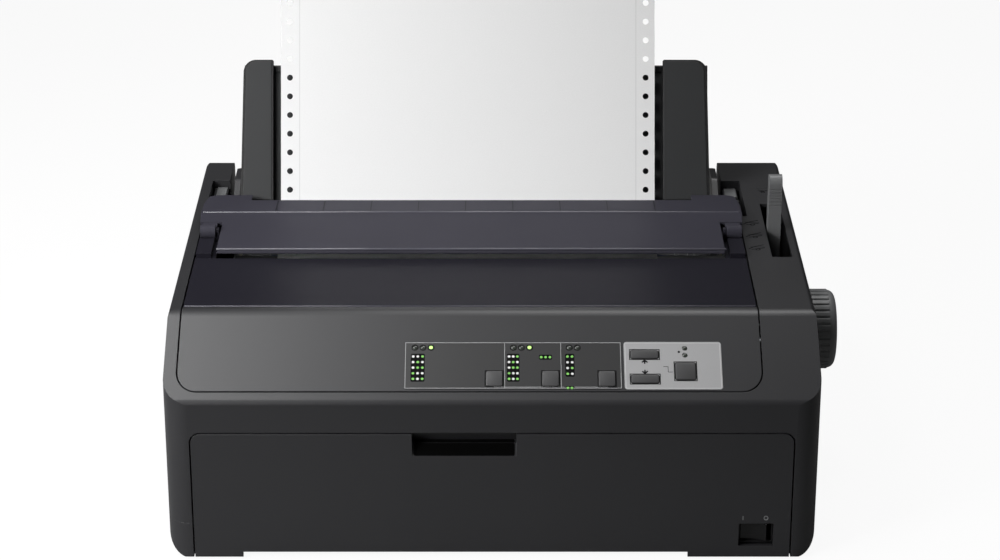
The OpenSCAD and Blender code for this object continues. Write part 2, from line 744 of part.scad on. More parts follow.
module power_rocker() {
  h = rocker_h - 4.2;
  half = 8.2;
  color([0.1, 0.1, 0.11]) at_body() translate([rocker_x, rocker_pin_y, rocker_z])
    rotate([0, 0, -rocker_tilt]) {
      translate([0, 0, -h / 2]) linear_extrude(h) difference() {
        rounded([[-half, -8.6], [half, -8.6], [half, -3], [3.4, 4], [-3.4, 4], [-half, -3]],
          [0.6, 0.6, 0.6, 0.6, 0.6, 0.6]);
        // the two faces meet in a shallow valley
        translate([0, -8.6 - 22.6]) circle(r = 24);
      }
      translate([0, 0, -rocker_h / 2 + 0.8]) cylinder(r = 1.2, h = rocker_h - 1.6);
    }
}

// ---------- Printer cover and flap ----------

cover_l = cover_off - cover_w / 2;
cover_r = cover_off + cover_w / 2;
cover_low = case_top - cover_t;
flap_pin_z = flap_top - 1;
ear_t = 2;
ear_at = arm_w - ear_t;

// The same piece at both ends of the cover, the right one mirrored
module both_ends() {
  for (s = [0, 1])
    translate([cover_off, 0, 0]) mirror([s, 0, 0]) translate([-cover_w / 2, 0, 0]) children();
}

module printer_cover() {
  color([0.16, 0.16, 0.2]) at_body() {
    // front sheet with a rounded front edge
    along_x(cover_l, cover_w)
      rounded([[cover_front, cover_low], [window_front, cover_low], [window_front, case_top],
        [cover_front, case_top]], [0.6, 0.5, 0.5, 1.6]);
    // lip that stiffens the front edge
    block([cover_l + 8, cover_front + 6, cover_low - 5], [cover_r - 8, cover_front + 8, cover_low + 0.2]);
    block([cover_l + 8, window_front - 2, cover_low - 4], [cover_r - 8, window_front, cover_low + 0.2]);
    // tear bar under the rear of the flap
    block([cover_l + arm_w - 0.2, tear_bar_y, 138.6], [cover_r - arm_w + 0.2, tear_bar_y + 30, 141.2]);
    both_ends() {
      // arm, bracket in front of the barrel, and ear with the flap's pin
      block([0, window_front - 0.2, cover_low - 1.6], [arm_w, tear_bar_y + 30, 142.2]);
      block([0.3, tear_bar_y + 20, 135.6], [arm_w, cover_hinge_y, 142.2]);
      block([0.3, window_front + 1.4, 142], [arm_w - 2.6, flap_hinge_y - barrel_r - 0.8, flap_top - 3.3]);
      along_x(ear_at, ear_t) {
        translate([flap_hinge_y, flap_pin_z]) circle(r = 3);
        translate([flap_hinge_y - 3, cover_low - 1.6]) square([6, flap_pin_z - cover_low + 1.6]);
      }
      rod_x(ear_at - 6.5, 6.7, [flap_hinge_y, flap_pin_z], flap_pin_r);
      // knuckle and pin of the cover hinge
      rod_x(0.3, arm_w - 0.3, [cover_hinge_y, cover_hinge_z], 4.2);
      rod_x(-3.8, 5, [cover_hinge_y, cover_hinge_z], cover_pin_r);
    }
  }
}

module cover_flap() {
  flap_front = window_front + 1.2;
  flap_rear = 237.6;
  flap_l = cover_off - flap_w / 2;
  wing = 31;
  notch = flap_w / 2 - cover_w / 2 + arm_w + 1;
  color([0.2, 0.2, 0.24]) at_body() {
    difference() {
      // flat top that falls a little behind its crease
      along_x(flap_l, flap_w)
        polygon([[flap_front, flap_top - 2.6], [flap_front + 1.4, flap_top],
          [206.5, flap_top], [209, flap_top - 0.7], [250.2, flap_top - 5],
          [250.2, case_top + 0.4], [236, case_top + 0.4], [209, flap_top - flap_t - 0.7],
          [206, flap_top - flap_t], [flap_front + 2.2, flap_top - flap_t],
          [flap_front + 1.6, flap_top - 3.4], [flap_front, flap_top - 3.4]]);
      // the front part passes between the brackets
      for (x = [flap_l - over, -flap_l + 2 * cover_off - notch])
        block([x, 100, 130], [x + notch + over, 188.6, 160]);
      // the sides draw in towards the front and towards the rear
      for (s = [-1, 1], e = [[164, 2.8, 206.5], [252, 2.6, 229]])
        translate([cover_off, 0, 130]) linear_extrude(40)
          polygon([[s * (flap_w / 2 + over), e[2]], [s * flap_w / 2, e[2]],
            [s * (flap_w / 2 - e[1]), e[0]], [s * (flap_w / 2 + over), e[0]]]);
      // rear edge stands back between the two wings
      block([flap_l + wing, flap_rear, 130], [-flap_l + 2 * cover_off - wing, 260, 160]);
      // rounded rear corners
      for (s = [-1, 1])
        translate([cover_off + s * (flap_w / 2 - 10), 250.2 - 10, 130]) difference() {
          block([s > 0 ? 0 : -11, 0, 0], [s > 0 ? 11 : 0, 11, 40]);
          translate([0, 0, -over]) cylinder(r = 10, h = 50);
        }
    }
    both_ends() {
      difference() {
        union() {
          rod_x(ear_at - 0.3 - barrel_len, barrel_len, [flap_hinge_y, flap_pin_z], barrel_r);
          block([ear_at - 0.3 - barrel_len, flap_hinge_y, flap_pin_z - 1.2],
            [ear_at - 0.3, 190, flap_top - 0.6]);
        }
        rod_x(ear_at - 7, 7, [flap_hinge_y, flap_pin_z], flap_pin_r + fit);
      }
      // web that ties the two ends to the front part
      block([ear_at - 1, 188.4, flap_top - flap_t], [arm_w + 2, 192, flap_top - 0.3]);
    }
    // ribs under the flap
    for (i = [0:6])
      block([-150 + i * 45, flap_front + 6, flap_top - flap_t - 1.2],
        [-148.6 + i * 45, 205, flap_top - flap_t + 0.2]);
  }
}

// ---------- Paper guide ----------

guide_l = guide_x - guide_w / 2;
guide_r = guide_x + guide_w / 2;
edge_gap = 0.4;

module paper_guide() {
  color([0.19, 0.19, 0.2]) at_body() at_guide() difference() {
    union() {
      // panel with a round top edge and the channel that the edge guides run in
      along_x(guide_l, guide_w) difference() {
        union() {
          translate([-guide_face, 0]) square([guide_t, guide_len - guide_t / 2]);
          translate([-guide_face + guide_t / 2, guide_len - guide_t / 2]) circle(r = guide_t / 2);
        }
        translate([-guide_face - over, guide_len - 5.8]) square([over + 1, 1.4]);
      }
      // stiffening ribs at the rear
      for (i = [0:8])
        along_x(guide_l + 18 + i * (guide_w - 36) / 8, 1.8)
          polygon([[-guide_face + guide_t - 0.2, 2], [-guide_face + guide_t + 5, 6],
            [-guide_face + guide_t + 2, guide_len - 14], [-guide_face + guide_t - 0.2, guide_len - 12]]);
      // ends that carry the pins
      for (x = [guide_l, guide_r - 6]) along_x(x, 6) {
        circle(r = 5);
        translate([-guide_face, -5]) square([guide_face, 10]);
        translate([-guide_face, 0]) square([guide_face + 2, 18]);
      }
      rod_x(guide_l - 7, 8, [0, 0], guide_pin_r);
      rod_x(guide_r - 1, 8, [0, 0], guide_pin_r);
    }
  }
}

// Edge guide: a thick plate on the face of the panel, its outer side spreading towards the foot
module edge_guide(x0, w, inner) {
  depth = 4.4;
  flare = 2.2;
  face = -guide_face - edge_gap - depth;
  top = guide_len + 3.4;
  foot = 2.4;
  hook_y = guide_t - guide_face + edge_gap;
  color([0.18, 0.18, 0.19]) at_body() at_guide() {
    translate([0, face + depth, 0]) rotate([90, 0, 0]) linear_extrude(depth)
      if (inner > 0) rounded([[x0 - flare, foot], [x0 + w, foot], [x0 + w, top], [x0, top]], [1, 1, 1, 8.5]);
      else rounded([[x0, foot], [x0 + w + flare, foot], [x0 + w, top], [x0, top]], [1, 1, 8.5, 1]);
    // hook over the top of the panel
    block([x0 + 6, face + 1, guide_len + edge_gap], [x0 + w - 6, hook_y + 2, top - 0.6]);
    block([x0 + 6, hook_y, guide_len - 9], [x0 + w - 6, hook_y + 2, top - 0.6]);
    // ridge that runs in the panel's channel
    block([x0 + 6, face + 3, guide_len - 5.5], [x0 + w - 6, 0.6 - guide_face, guide_len - 4.7]);
  }
}
module edge_guide_left() { edge_guide(guide_l - 0.2, edge_left_w, 1); }
module edge_guide_right() { edge_guide(guide_r - 0.9 - edge_right_w, edge_right_w, -1); }

// ---------- Release lever ----------

module release_lever() {
  reach = lever_top - lever_z;
  depth = 11;
  tip_r = 5;
  color([0.45, 0.45, 0.46]) at_body() translate([0, lever_y, lever_z]) difference() {
    union() {
      along_x(lever_x - lever_w / 2, lever_w) {
        circle(r = 8);
        // blade with a round tip
        polygon([[-4, 1], [depth - 4, 1], [depth, reach - 60], [depth, reach - tip_r],
          [depth - tip_r, reach], [tip_r, reach], [0, reach - tip_r], [0, reach - 60]]);
        for (y = [tip_r, depth - tip_r]) translate([y, reach - tip_r]) circle(r = tip_r);
        // heel that lifts the pinch rollers
        polygon([[-22, -4], [0, -6], [0, 5], [-22, 3]]);
      }
    }
    rod_x(lever_x - lever_w, lever_w * 2, [0, 0], 3 + fit);
    // grip grooves across the tip
    for (i = [0:5]) block([lever_x - lever_w, -over, reach - 9 - i * 2.2],
      [lever_x + lever_w, 0.5, reach - 8.2 - i * 2.2]);
  }
}

// ---------- Platen ----------

module platen_roller() {
  color([0.08, 0.08, 0.08]) at_body() difference() {
    rod_x(frame_l + 6, frame_r - frame_l - 12, platen_c, platen_r);
    rod_x(frame_l, frame_r - frame_l, platen_c, shaft_r + 0.01);
  }
}
module platen_shaft() {
  color([0.7, 0.7, 0.72]) at_body() difference() {
    union() {
      rod_x(frame_l - 6, half_w + 12 - frame_l + 6, platen_c, shaft_r);
      rod_x(frame_l + 4, 2, platen_c, shaft_r + 3);
      rod_x(frame_r - 6, 2, platen_c, shaft_r + 3);
    }
    // flat that drives the knob
    block([half_w - 4, platen_y - 6, platen_z + shaft_r - 1], [half_w + 20, platen_y + 6, platen_z + 10]);
  }
}
module shaft_bushes() {
  color([0.85, 0.83, 0.75]) at_body()
    for (x = [frame_l, frame_r + frame_t]) {
      difference() {
        union() {
          rod_x(x < 0 ? x - frame_t - 0.6 : x - frame_t, frame_t + 0.6, platen_c, 8 - 0.01);
          rod_x(x < 0 ? x : x - frame_t - 1.5, 1.5, platen_c, 10);
        }
        rod_x(x - 10, 20, platen_c, shaft_r + fit);
      }
      difference() {
        union() {
          rod_x(x < 0 ? x - frame_t - 0.6 : x - frame_t, frame_t + 0.6, tractor_c, 7 - 0.01);
          rod_x(x < 0 ? x : x - frame_t - 1.5, 1.5, tractor_c, 9);
        }
        rod_x(x - 10, 20, tractor_c, 5 + fit);
      }
    }
}

module platen_knob() {
  flutes = 36;
  depth = 15;
  x0 = half_w + knob_gap;
  color([0.4, 0.4, 0.41]) at_body() translate([x0, platen_y, platen_z]) rotate([90, 0, 90])
    difference() {
      union() {
        // fluted rim and its rounded outer face
        linear_extrude(knob_w - 5) difference() {
          circle(r = knob_r, $fn = 96);
          for (i = [0:flutes - 1])
            rotate(i * 360 / flutes) translate([knob_r + 0.5, 0]) circle(r = 1.2, $fn = 16);
        }
        translate([0, 0, knob_w - 5]) rotate_extrude($fn = 96) {
          square([knob_r - 5, 5]);
          translate([knob_r - 5.6, 0]) circle(r = 5);
          square([knob_r - 0.7, 0.4]);
        }
        // hub that reaches through the case wall
        translate([0, 0, -knob_gap - wall - 3]) cylinder(r = 8, h = knob_gap + wall + 8);
      }
      // hollow towards the case, and the shaft's hole
      translate([0, 0, -over]) difference() {
        cylinder(r = knob_r - 3.4, h = depth + over);
        translate([0, 0, -over]) cylinder(r = 8, h = depth + 3 * over);
        for (i = [0:5]) rotate(i * 60) translate([0, -0.8, -over]) cube([knob_r, 1.6, depth + 3 * over]);
      }
      translate([0, 0, -12]) difference() {
        cylinder(r = shaft_r + 0.02, h = 24.2);
        translate([-6, shaft_r - 1 + 0.05, 0]) cube([12, 4, 30]);
      }
      // dish in the outer face
      translate([0, 0, knob_w - 1.6]) cylinder(r1 = knob_r - 9, r2 = knob_r - 7, h = 1.6 + over);
    }
}

// ---------- Gears ----------

function tooth_ring(n) =
  let (r = n * gear_m / 2, tip = r + 0.85 * gear_m, root = r - 1.1 * gear_m, step = 360 / n)
  [for (i = [0:n - 1], k = [[-0.3, root], [-0.11, tip], [0.11, tip], [0.3, root]])
    k[1] * polar((i + k[0]) * step)];

// Toothed wheel on an X axis through c, turned by phase, with spoke holes in larger ones
module gear(n, c, phase, bore) {
  r = n * gear_m / 2;
  along_x(gear_x, gear_w) translate(c) rotate(phase) difference() {
    polygon(tooth_ring(n));
    circle(r = bore);
    if (r > 12) for (i = [0:5]) rotate(i * 60) translate([r * 0.6, 0]) circle(r = r * 0.17);
  }
}
module platen_gear() {
  color([0.9, 0.9, 0.86]) at_body() gear(gear_n, platen_c, 0, shaft_r + 0.01);
}
module idler_gear_front() {
  color([0.9, 0.9, 0.86]) at_body() gear(gear_n, idler_f, phase_f, 3 + fit);
}
module idler_gear_rear() {
  color([0.9, 0.9, 0.86]) at_body() gear(gear_n, idler_b, phase_b, 3 + fit);
}
module tractor_gear() {
  color([0.9, 0.9, 0.86]) at_body() difference() {
    gear(tractor_n, tractor_c, phase_t, 1);
    translate([gear_x - over, tractor_y - square_w / 2 - 0.01, tractor_z - square_w / 2 - 0.01])
      cube([gear_w + 2 * over, square_w + 0.02, square_w + 0.02]);
  }
}
module feed_pinion() {
  color([0.8, 0.68, 0.35]) at_body() gear(pinion_n, pinion_c, phase_p, 1.5 + 0.01);
}

// ---------- Chassis ----------

module chassis_pan() {
  color([0.66, 0.67, 0.68]) at_body() difference() {
    union() {
      block([frame_l - frame_t, 40, pan_z], [frame_r + frame_t, frame_rear, pan_z + pan_t]);
      // flanges folded up at the front and the rear
      block([frame_l - frame_t, 40, pan_z], [frame_r + frame_t, 40 + pan_t, pan_z + 8]);
      block([frame_l + 0.1, frame_rear - pan_t, pan_z], [frame_r - 0.1, frame_rear, pan_z + 4]);
      // bracket of the carriage motor
      block([drive_x - 24, belt_y - 22, pan_z], [drive_x - 22.5, belt_y + 22, 36.4]);
      block([drive_x - 24, belt_y - 22, 35], [drive_x + 18, belt_y + 22, 36.4]);
      // post of the idler pulley
      translate([idler_x, belt_y, pan_z]) cylinder(r = 5, h = 30);
      translate([idler_x, belt_y, pan_z]) cylinder(r = 2, h = belt_z + belt_w + 3 - pan_z);
    }
    translate([drive_x, belt_y, 34]) cylinder(r = 4, h = 4);
    for (x = [-150, 130], y = [60, 180, 285])
      translate([x, y, pan_z - over]) cylinder(r = 2, h = 4);
    for (x = [-120, -60, 0, 60]) translate([x, 250, pan_z - over]) linear_extrude(4)
      round_box(-19, -34, 19, 4, 4);
  }
}

// Outline of the side frames in Y and Z
module frame_outline() {
  difference() {
    union() {
      square_at(frame_front, pan_z + pan_t, frame_rear, 66);
      rounded(box_pts(126, 30, 214, frame_top), [2, 2, 10, 10]);
      rounded(box_pts(200, 30, frame_rear, frame_rear_top), [2, 2, 6, 6]);
      rounded(box_pts(frame_front, 30, 100, 90), [2, 2, 4, 4]);
    }
    translate(platen_c) circle(r = 8);
    translate(tractor_c) circle(r = 7);
    round_box(226, 30, 252, 62, 5);
    round_box(130, 16, 168, 44, 5);
  }
}
module square_at(x0, y0, x1, y1) {
  translate([x0, y0]) square([x1 - x0, y1 - y0]);
}
// Shelf folded in under the ribbon cartridge
shelf_z = 82;
module side_frame_left() {
  color([0.68, 0.69, 0.7]) at_body() difference() {
    union() {
      along_x(frame_l - frame_t, frame_t) frame_outline();
      block([frame_l - 0.2, 68, shelf_z], [frame_l + 14, 98, shelf_z + 1.5]);
    }
    rod_x(frame_l - 5, 10, [carriage_y, carriage_z], carriage_rod_r + 0.01);
    rod_x(frame_l - 5, 10, rod_at, rod_r + 0.01);
  }
}
module side_frame_right() {
  color([0.68, 0.69, 0.7]) at_body() {
    difference() {
      union() {
        along_x(frame_r, frame_t) frame_outline();
        block([frame_r - 14, 68, shelf_z], [frame_r + 0.2, 98, shelf_z + 1.5]);
      }
      rod_x(frame_r - 5, 10, [carriage_y, carriage_z], carriage_rod_r + 0.01);
      rod_x(frame_r - 5, 10, rod_at, rod_r + 0.01);
      rod_x(frame_r - 5, 10, pinion_c, 7.4);
    }
    // studs of the idler gears and of the release lever
    for (c = [idler_f, idler_b]) {
      rod_x(frame_r + frame_t - 0.2, gear_w + 3, c, 3);
      rod_x(frame_r + frame_t - 0.2, 0.9, c, 5);
    }
    rod_x(frame_r + frame_t - 0.2, lever_x + lever_w / 2 + 1.2 - frame_r - frame_t, [lever_y, lever_z], 3);
    rod_x(frame_r + frame_t - 0.2, lever_x - lever_w / 2 - 0.4 - frame_r - frame_t, [lever_y, lever_z], 5);
  }
}

// ---------- Tractors ----------

rod_at = [255, 78];
cheek_in = 4.4;
cheek_out = 6.6;
bed_low = run_z - paper_t / 2 - 3.2;
bed_top = run_z - paper_t / 2 - 0.3;
tractor_y0 = tractor_y - tractor_len / 2 - 2;
hinge_z = bed_top + 0.2;

module tractor_shaft() {
  color([0.72, 0.72, 0.74]) at_body() {
    block([frame_l - 2, tractor_y - square_w / 2, tractor_z - square_w / 2],
      [frame_r + frame_t + gear_w + 2.6, tractor_y + square_w / 2, tractor_z + square_w / 2]);
    // round journals in the bushes
    rod_x(frame_l - frame_t - 1, frame_t + 3, tractor_c, 5);
    rod_x(frame_r - 1.8, frame_t + 2.4, tractor_c, 5);
  }
}
module tractor_rod() {
  color([0.72, 0.72, 0.74]) at_body() rod_x(frame_l - frame_t - 1, frame_r - frame_l + 2 * frame_t + 1.4,
    rod_at, rod_r);
}

// Frame of one tractor at hole line hx; s is +1 where its outer side faces -X
module tractor(hx, s) {
  at_body() translate([hx, 0, 0]) mirror([s > 0 ? 0 : 1, 0, 0]) difference() {
    union() {
      for (x = [-cheek_out, cheek_in]) along_x(x, cheek_out - cheek_in) cheek();
      // paper bed on both sides of the sprocket, joined at its ends
      block([-cheek_out - 2.9, tractor_y0, bed_low], [-cheek_in, tractor_y0 + tractor_len, bed_top]);
      block([cheek_in, tractor_y0, bed_low], [cheek_out + 2, tractor_y0 + tractor_len, bed_top]);
      block([-cheek_out, tractor_y0, bed_low], [cheek_out, tractor_y0 + 5, bed_top]);
      block([-cheek_out, tractor_y0 + tractor_len - 5, bed_low], [cheek_out, tractor_y0 + tractor_len, bed_top]);
      // sleeves on the support rod, open where the sprocket's pins pass
      rod_x(-cheek_out - 3, cheek_out - cheek_in + 3, rod_at, rod_r + 2.2);
      rod_x(cheek_in, cheek_out - cheek_in + 2, rod_at, rod_r + 2.2);
      // ears of the cover hinge
      for (y = [tractor_y0 + 6, tractor_y0 + tractor_len - 9])
        block([-cheek_out - 6.6, y, bed_low - 0.8], [-cheek_out - 3.6, y + 3, hinge_z + 1.7]);
      block([-cheek_out - 6.6, tractor_y0 + 6, bed_low - 0.8],
        [-cheek_out - 2.7, tractor_y0 + tractor_len - 6, bed_low + 0.8]);
    }
    rod_x(-30, 60, rod_at, rod_r + fit);
    rod_x(-30, 60, tractor_c, 6 + fit);
    translate([-cheek_out - 5.1, tractor_y0, hinge_z]) rotate([-90, 0, 0])
      cylinder(r = 1 + fit, h = tractor_len);
  }
}
module cheek() {
  translate(tractor_c) circle(r = 14);
  translate(rod_at) circle(r = 7);
  translate([tractor_y0, bed_low - 6]) square([tractor_len, 6.2]);
  translate([rod_at[0] - 7, rod_at[1]]) square([tractor_y + 14 - rod_at[0] + 7, bed_low - rod_at[1]]);
}
module tractor_left() { color([0.3, 0.3, 0.32]) tractor(holes_l, 1); }
module tractor_right() { color([0.3, 0.3, 0.32]) tractor(holes_r, -1); }

// Hinged cover that holds the paper down on the pins
module tractor_cover(hx, s) {
  low = run_z + paper_t / 2 + 0.35;
  at_body() translate([hx, 0, 0]) mirror([s > 0 ? 0 : 1, 0, 0]) difference() {
    union() {
      block([-cheek_out - 2.6, tractor_y0 + 1, low], [cheek_out + 2, tractor_y0 + tractor_len - 1, low + 2]);
      block([-cheek_out - 5.1, tractor_y0 + 10, low], [-cheek_out - 2.4, tractor_y0 + tractor_len - 10, low + 2]);
      // knuckle between the ears, with its pins
      translate([-cheek_out - 5.1, tractor_y0 + 9.3, hinge_z]) rotate([-90, 0, 0])
        cylinder(r = 1.9, h = tractor_len - 18.6);
      translate([-cheek_out - 5.1, tractor_y0 + 6.5, hinge_z]) rotate([-90, 0, 0])
        cylinder(r = 1, h = tractor_len - 13);
      // finger tab
      block([cheek_out + 1.8, tractor_y - 8, low], [cheek_out + 6, tractor_y + 4, low + 1.4]);
    }
    // slot over the pins
    translate([0, 0, low - over]) linear_extrude(6)
      round_box(-2.6, tractor_y0 + 5, 2.6, tractor_y0 + tractor_len - 5, 2.5);
  }
}
module tractor_cover_left() { color([0.35, 0.35, 0.37]) tractor_cover(holes_l, 1); }
module tractor_cover_right() { color([0.35, 0.35, 0.37]) tractor_cover(holes_r, -1); }

// Wheel with the feed pins, sliding on the square shaft
module sprocket(hx) {
  at_body() translate([hx, tractor_y, tractor_z]) rotate([90, 0, 90]) difference() {
    union() {
      translate([0, 0, -3.8]) cylinder(r = hub_r, h = 7.6);
      translate([0, 0, -cheek_out - 0.6]) cylinder(r = 6, h = 2 * cheek_out + 1.2);
      for (i = [0:pin_count - 1]) rotate(90 + i * 360 / pin_count) translate([hub_r - 1, 0, 0])
        rotate([0, 90, 0]) rotate_extrude($fn = 32)
          polygon([[0, 0], [1.75, 0], [1.75, 1.8], [0.9, 3.1], [0, 3.1]]);
    }
    translate([-square_w / 2 - fit, -square_w / 2 - fit, -20]) cube([square_w + 2 * fit, square_w + 2 * fit, 40]);
    for (i = [0:3]) rotate(22.5 + i * 90) translate([hub_r * 0.68, 0, -10]) cylinder(r = 2.6, h = 20);
  }
}
module sprocket_left() { color([0.12, 0.12, 0.13]) sprocket(holes_l); }
module sprocket_right() { color([0.12, 0.12, 0.13]) sprocket(holes_r); }

// Lever that locks a tractor on the support rod
module tractor_lock(hx, s) {
  at_body() translate([hx, 0, 0]) mirror([s > 0 ? 0 : 1, 0, 0]) difference() {
    along_x(-cheek_out - 10.4, 7) translate(rod_at) {
      circle(r = 6.6);
      rotate(18) rounded([[-24, -2], [0, -4], [0, 4], [-24, 2]], [1.6, 1, 1, 1.6]);
    }
    rod_x(-30, 60, rod_at, rod_r + fit);
  }
}
module tractor_lock_left() { color([0.2, 0.32, 0.5]) tractor_lock(holes_l, 1); }
module tractor_lock_right() { color([0.2, 0.32, 0.5]) tractor_lock(holes_r, -1); }

// ---------- Motors ----------

module feed_motor() {
  color([0.6, 0.6, 0.62]) at_body() {
    rod_x(frame_r - 26, 24.8, pinion_c, 20);
    rod_x(frame_r - 1.2, 1.2, pinion_c, 7.2);
    // mounting plate with two ears
    along_x(frame_r - 1.2, 1.2) difference() {
      rounded([[pinion_c[0] - 27, pinion_c[1] - 6], [pinion_c[0] + 27, pinion_c[1] - 6],
        [pinion_c[0] + 27, pinion_c[1] + 6], [pinion_c[0] - 27, pinion_c[1] + 6]], [5, 5, 5, 5]);
      for (s = [-1, 1]) translate(pinion_c + [s * 23, 0]) circle(r = 1.7);
      translate(pinion_c) circle(r = 7.2);
    }
    rod_x(frame_r - 2, gear_x - frame_r + gear_w + 2.8, pinion_c, 1.5);
    block([frame_r - 24, pinion_c[0] - 8, pinion_c[1] - 23], [frame_r - 12, pinion_c[0] + 8, pinion_c[1] - 19]);
  }
}
module carriage_motor() {
  color([0.55, 0.55, 0.57]) at_body() {
    translate([drive_x, belt_y, 10]) linear_extrude(25)
      rounded(box_pts(-17.8, -20, 17.8, 20), [4, 4, 4, 4]);
    translate([drive_x, belt_y, 34]) cylinder(r = 2, h = 12);
    translate([drive_x, belt_y, 34.6]) cylinder(r = 3.8, h = 2);
    block([drive_x - 6, belt_y + 19, 12], [drive_x + 6, belt_y + 23, 20]);
  }
}

// ---------- Carriage ----------

module carriage_rails() {
  color([0.75, 0.75, 0.77]) at_body() {
    rod_x(frame_l - frame_t - 9, frame_r - frame_l + 2 * frame_t + 10, [carriage_y, carriage_z],
      carriage_rod_r);
    // folded front rail
    block([frame_l, rail_y, rail_z - 14], [frame_r, rail_y + 1.5, rail_z]);
    block([frame_l, rail_y - 10, rail_z - 14], [frame_r, rail_y + 1.5, rail_z - 12.5]);
  }
}

module carriage() {
  x0 = carriage_home - carriage_w / 2;
  color([0.16, 0.16, 0.17]) at_body() difference() {
    union() {
      // bearing tube, deck and front shoe
      rod_x(x0, carriage_w, [carriage_y, carriage_z], carriage_rod_r + 3.4);
      block([x0 + 2, rail_y + 6, 61.6], [x0 + carriage_w - 2, carriage_y, 65]);
      block([x0 + 6, rail_y - 5, 61.6], [x0 + carriage_w - 6, rail_y + 8, 65]);
      block([x0 + 10, rail_y - 4, 54], [x0 + carriage_w - 10, rail_y - air, 62]);
      block([x0 + 10, rail_y + 1.5 + air, 54], [x0 + carriage_w - 10, rail_y + 5, 62]);
      // cheeks of the head seat
      for (x = [x0 + 2, x0 + carriage_w - 4.4])
        along_x(x, 2.4) rounded([[78, 62], [124, 62], [124, 84], [112, 90], [96, 90]], [1, 3, 3, 3, 3]);
      // clamp on the belt
      block([x0 + 16, belt_y - pulley_r - 4.4, belt_z + belt_w + 0.4], [x0 + 28, belt_y - pulley_r + 3, 62]);
      block([x0 + 16, belt_y - pulley_r - 4.4, belt_z + 1], [x0 + 28, belt_y - pulley_r - belt_t - 0.5, 62]);
      block([x0 + 16, belt_y - pulley_r + 0.7, belt_z + 1], [x0 + 28, belt_y - pulley_r + 3, 62]);
    }
    rod_x(x0 - over, carriage_w + 2 * over, [carriage_y, carriage_z], carriage_rod_r + fit);
  }
}

// Print head: nose towards the platen, finned heat sink behind it
module print_head() {
  hx = carriage_home;
  w = 30;
  color([0.3, 0.3, 0.31]) at_body() difference() {
    union() {
      block([hx - w / 2, 92, 69.6], [hx + w / 2, 122, 96]);
      // nose that narrows to the pin guide
      along_x(hx - 8, 16) polygon([[121, 72], [134, 76], [nose_y - 1.2, 78], [nose_y, 78.6],
        [nose_y, 87], [nose_y - 1.2, 87.6], [134, 90], [121, 94]]);
      // ribbon mask, a thin plate behind the ribbon
      along_x(hx - 19, 38) polygon([[nose_y - 1.4, 77.8], [nose_y - 0.5, 77.8], [nose_y - 0.5, 91],
        [nose_y - 1.4, 91]]);
      // fins
      for (i = [0:8]) block([hx - w / 2 + i * 3.5, 92, 95.8], [hx - w / 2 + 2 + i * 3.5, 120, 103]);
      block([hx - 15, 94, 66.7], [hx + 15, 118, 69.8]);
    }
    // lightening grooves in the rear of the heat sink
    for (i = [0:5]) block([hx - w / 2 - over, 91, 73 + i * 3.6], [hx + w / 2 + over, 95, 74.6 + i * 3.6]);
  }
}

// ---------- Belt ----------

module pulley(x) {
  at_body() translate([x, belt_y, belt_z - 0.8]) difference() {
    union() {
      cylinder(r = pulley_r + 1.8, h = 0.6);
      cylinder(r = pulley_r - 0.4, h = belt_w + 1.6);
      translate([0, 0, belt_w + 1]) cylinder(r = pulley_r + 1.8, h = 0.8);
    }
    translate([0, 0, -over]) cylinder(r = 2 + (x < 0 ? fit : 0.01), h = belt_w + 5);
    for (i = [0:15]) rotate(i * 22.5) translate([pulley_r - 0.4, 0, 0.7])
      cylinder(r = 0.5, h = belt_w + 0.2, $fn = 16);
  }
}
module drive_pulley() { color([0.8, 0.8, 0.82]) pulley(drive_x); }
module idler_pulley() { color([0.85, 0.85, 0.8]) pulley(idler_x); }

module belt_outline(r) {
  translate([idler_x, belt_y]) circle(r = r);
  translate([drive_x, belt_y]) circle(r = r);
  translate([idler_x, belt_y - r]) square([drive_x - idler_x, 2 * r]);
}
module drive_belt() {
  color([0.07, 0.07, 0.07]) at_body() translate([0, 0, belt_z]) linear_extrude(belt_w) difference() {
    belt_outline(pulley_r + belt_t);
    belt_outline(pulley_r);
  }
}

// ---------- Ribbon ----------

ribbon_low = shelf_z + 1.5;
module ribbon_cartridge() {
  color([0.1, 0.1, 0.11]) at_body() {
    difference() {
      union() {
        translate([0, 0, ribbon_low]) linear_extrude(18)
          rounded(box_pts(frame_l + 2, 66, frame_r - 2, 88), [5, 5, 3, 3]);
        // arms that carry the ribbon to the print line
        for (x = [frame_l + 6, frame_r - 22]) {
          translate([x, 0, ribbon_low]) linear_extrude(14)
            rounded([[0, 86], [16, 86], [12, 141], [4, 141]], [1, 1, 3, 3]);
        }
      }
      translate([knob_at[0], knob_at[1], ribbon_low + 4]) cylinder(r = 5.2, h = 30);
      // shallow panel on the lid
      translate([0, 0, ribbon_low + 17.2]) linear_extrude(4)
        round_box(frame_l + 60, 70, frame_r - 14, 84, 3);
    }
    // ribbon across the print line
    block([frame_l + 14, ribbon_y, ribbon_low - 4], [frame_r - 14, ribbon_y + ribbon_t, ribbon_low + 8.5]);
    for (x = [frame_l + 10, frame_r - 18])
      translate([x + 4, ribbon_y - 1.8, ribbon_low - 4]) cylinder(r = 1.8, h = 14);
    for (x = [frame_l + 11, frame_r - 17])
      block([x, 138, ribbon_low], [x + 6, ribbon_y - 1, ribbon_low + 8.5]);
  }
}
knob_at = [-132, 77];
module ribbon_knob() {
  color([0.15, 0.15, 0.16]) at_body() translate([knob_at[0], knob_at[1], ribbon_low + 4.4]) {
    cylinder(r = 5, h = 14);
    translate([0, 0, 13.9]) linear_extrude(6) difference() {
      circle(r = 9);
      for (i = [0:15]) rotate(i * 22.5) translate([9.3, 0]) circle(r = 0.9, $fn = 16);
    }
    translate([0, 0, 19.5]) rounded_bar(14, 3, 4);
  }
}
module rounded_bar(l, w, h) {
  linear_extrude(h) round_box(-l / 2, -w / 2, l / 2, w / 2, w / 2 - 0.05);
}

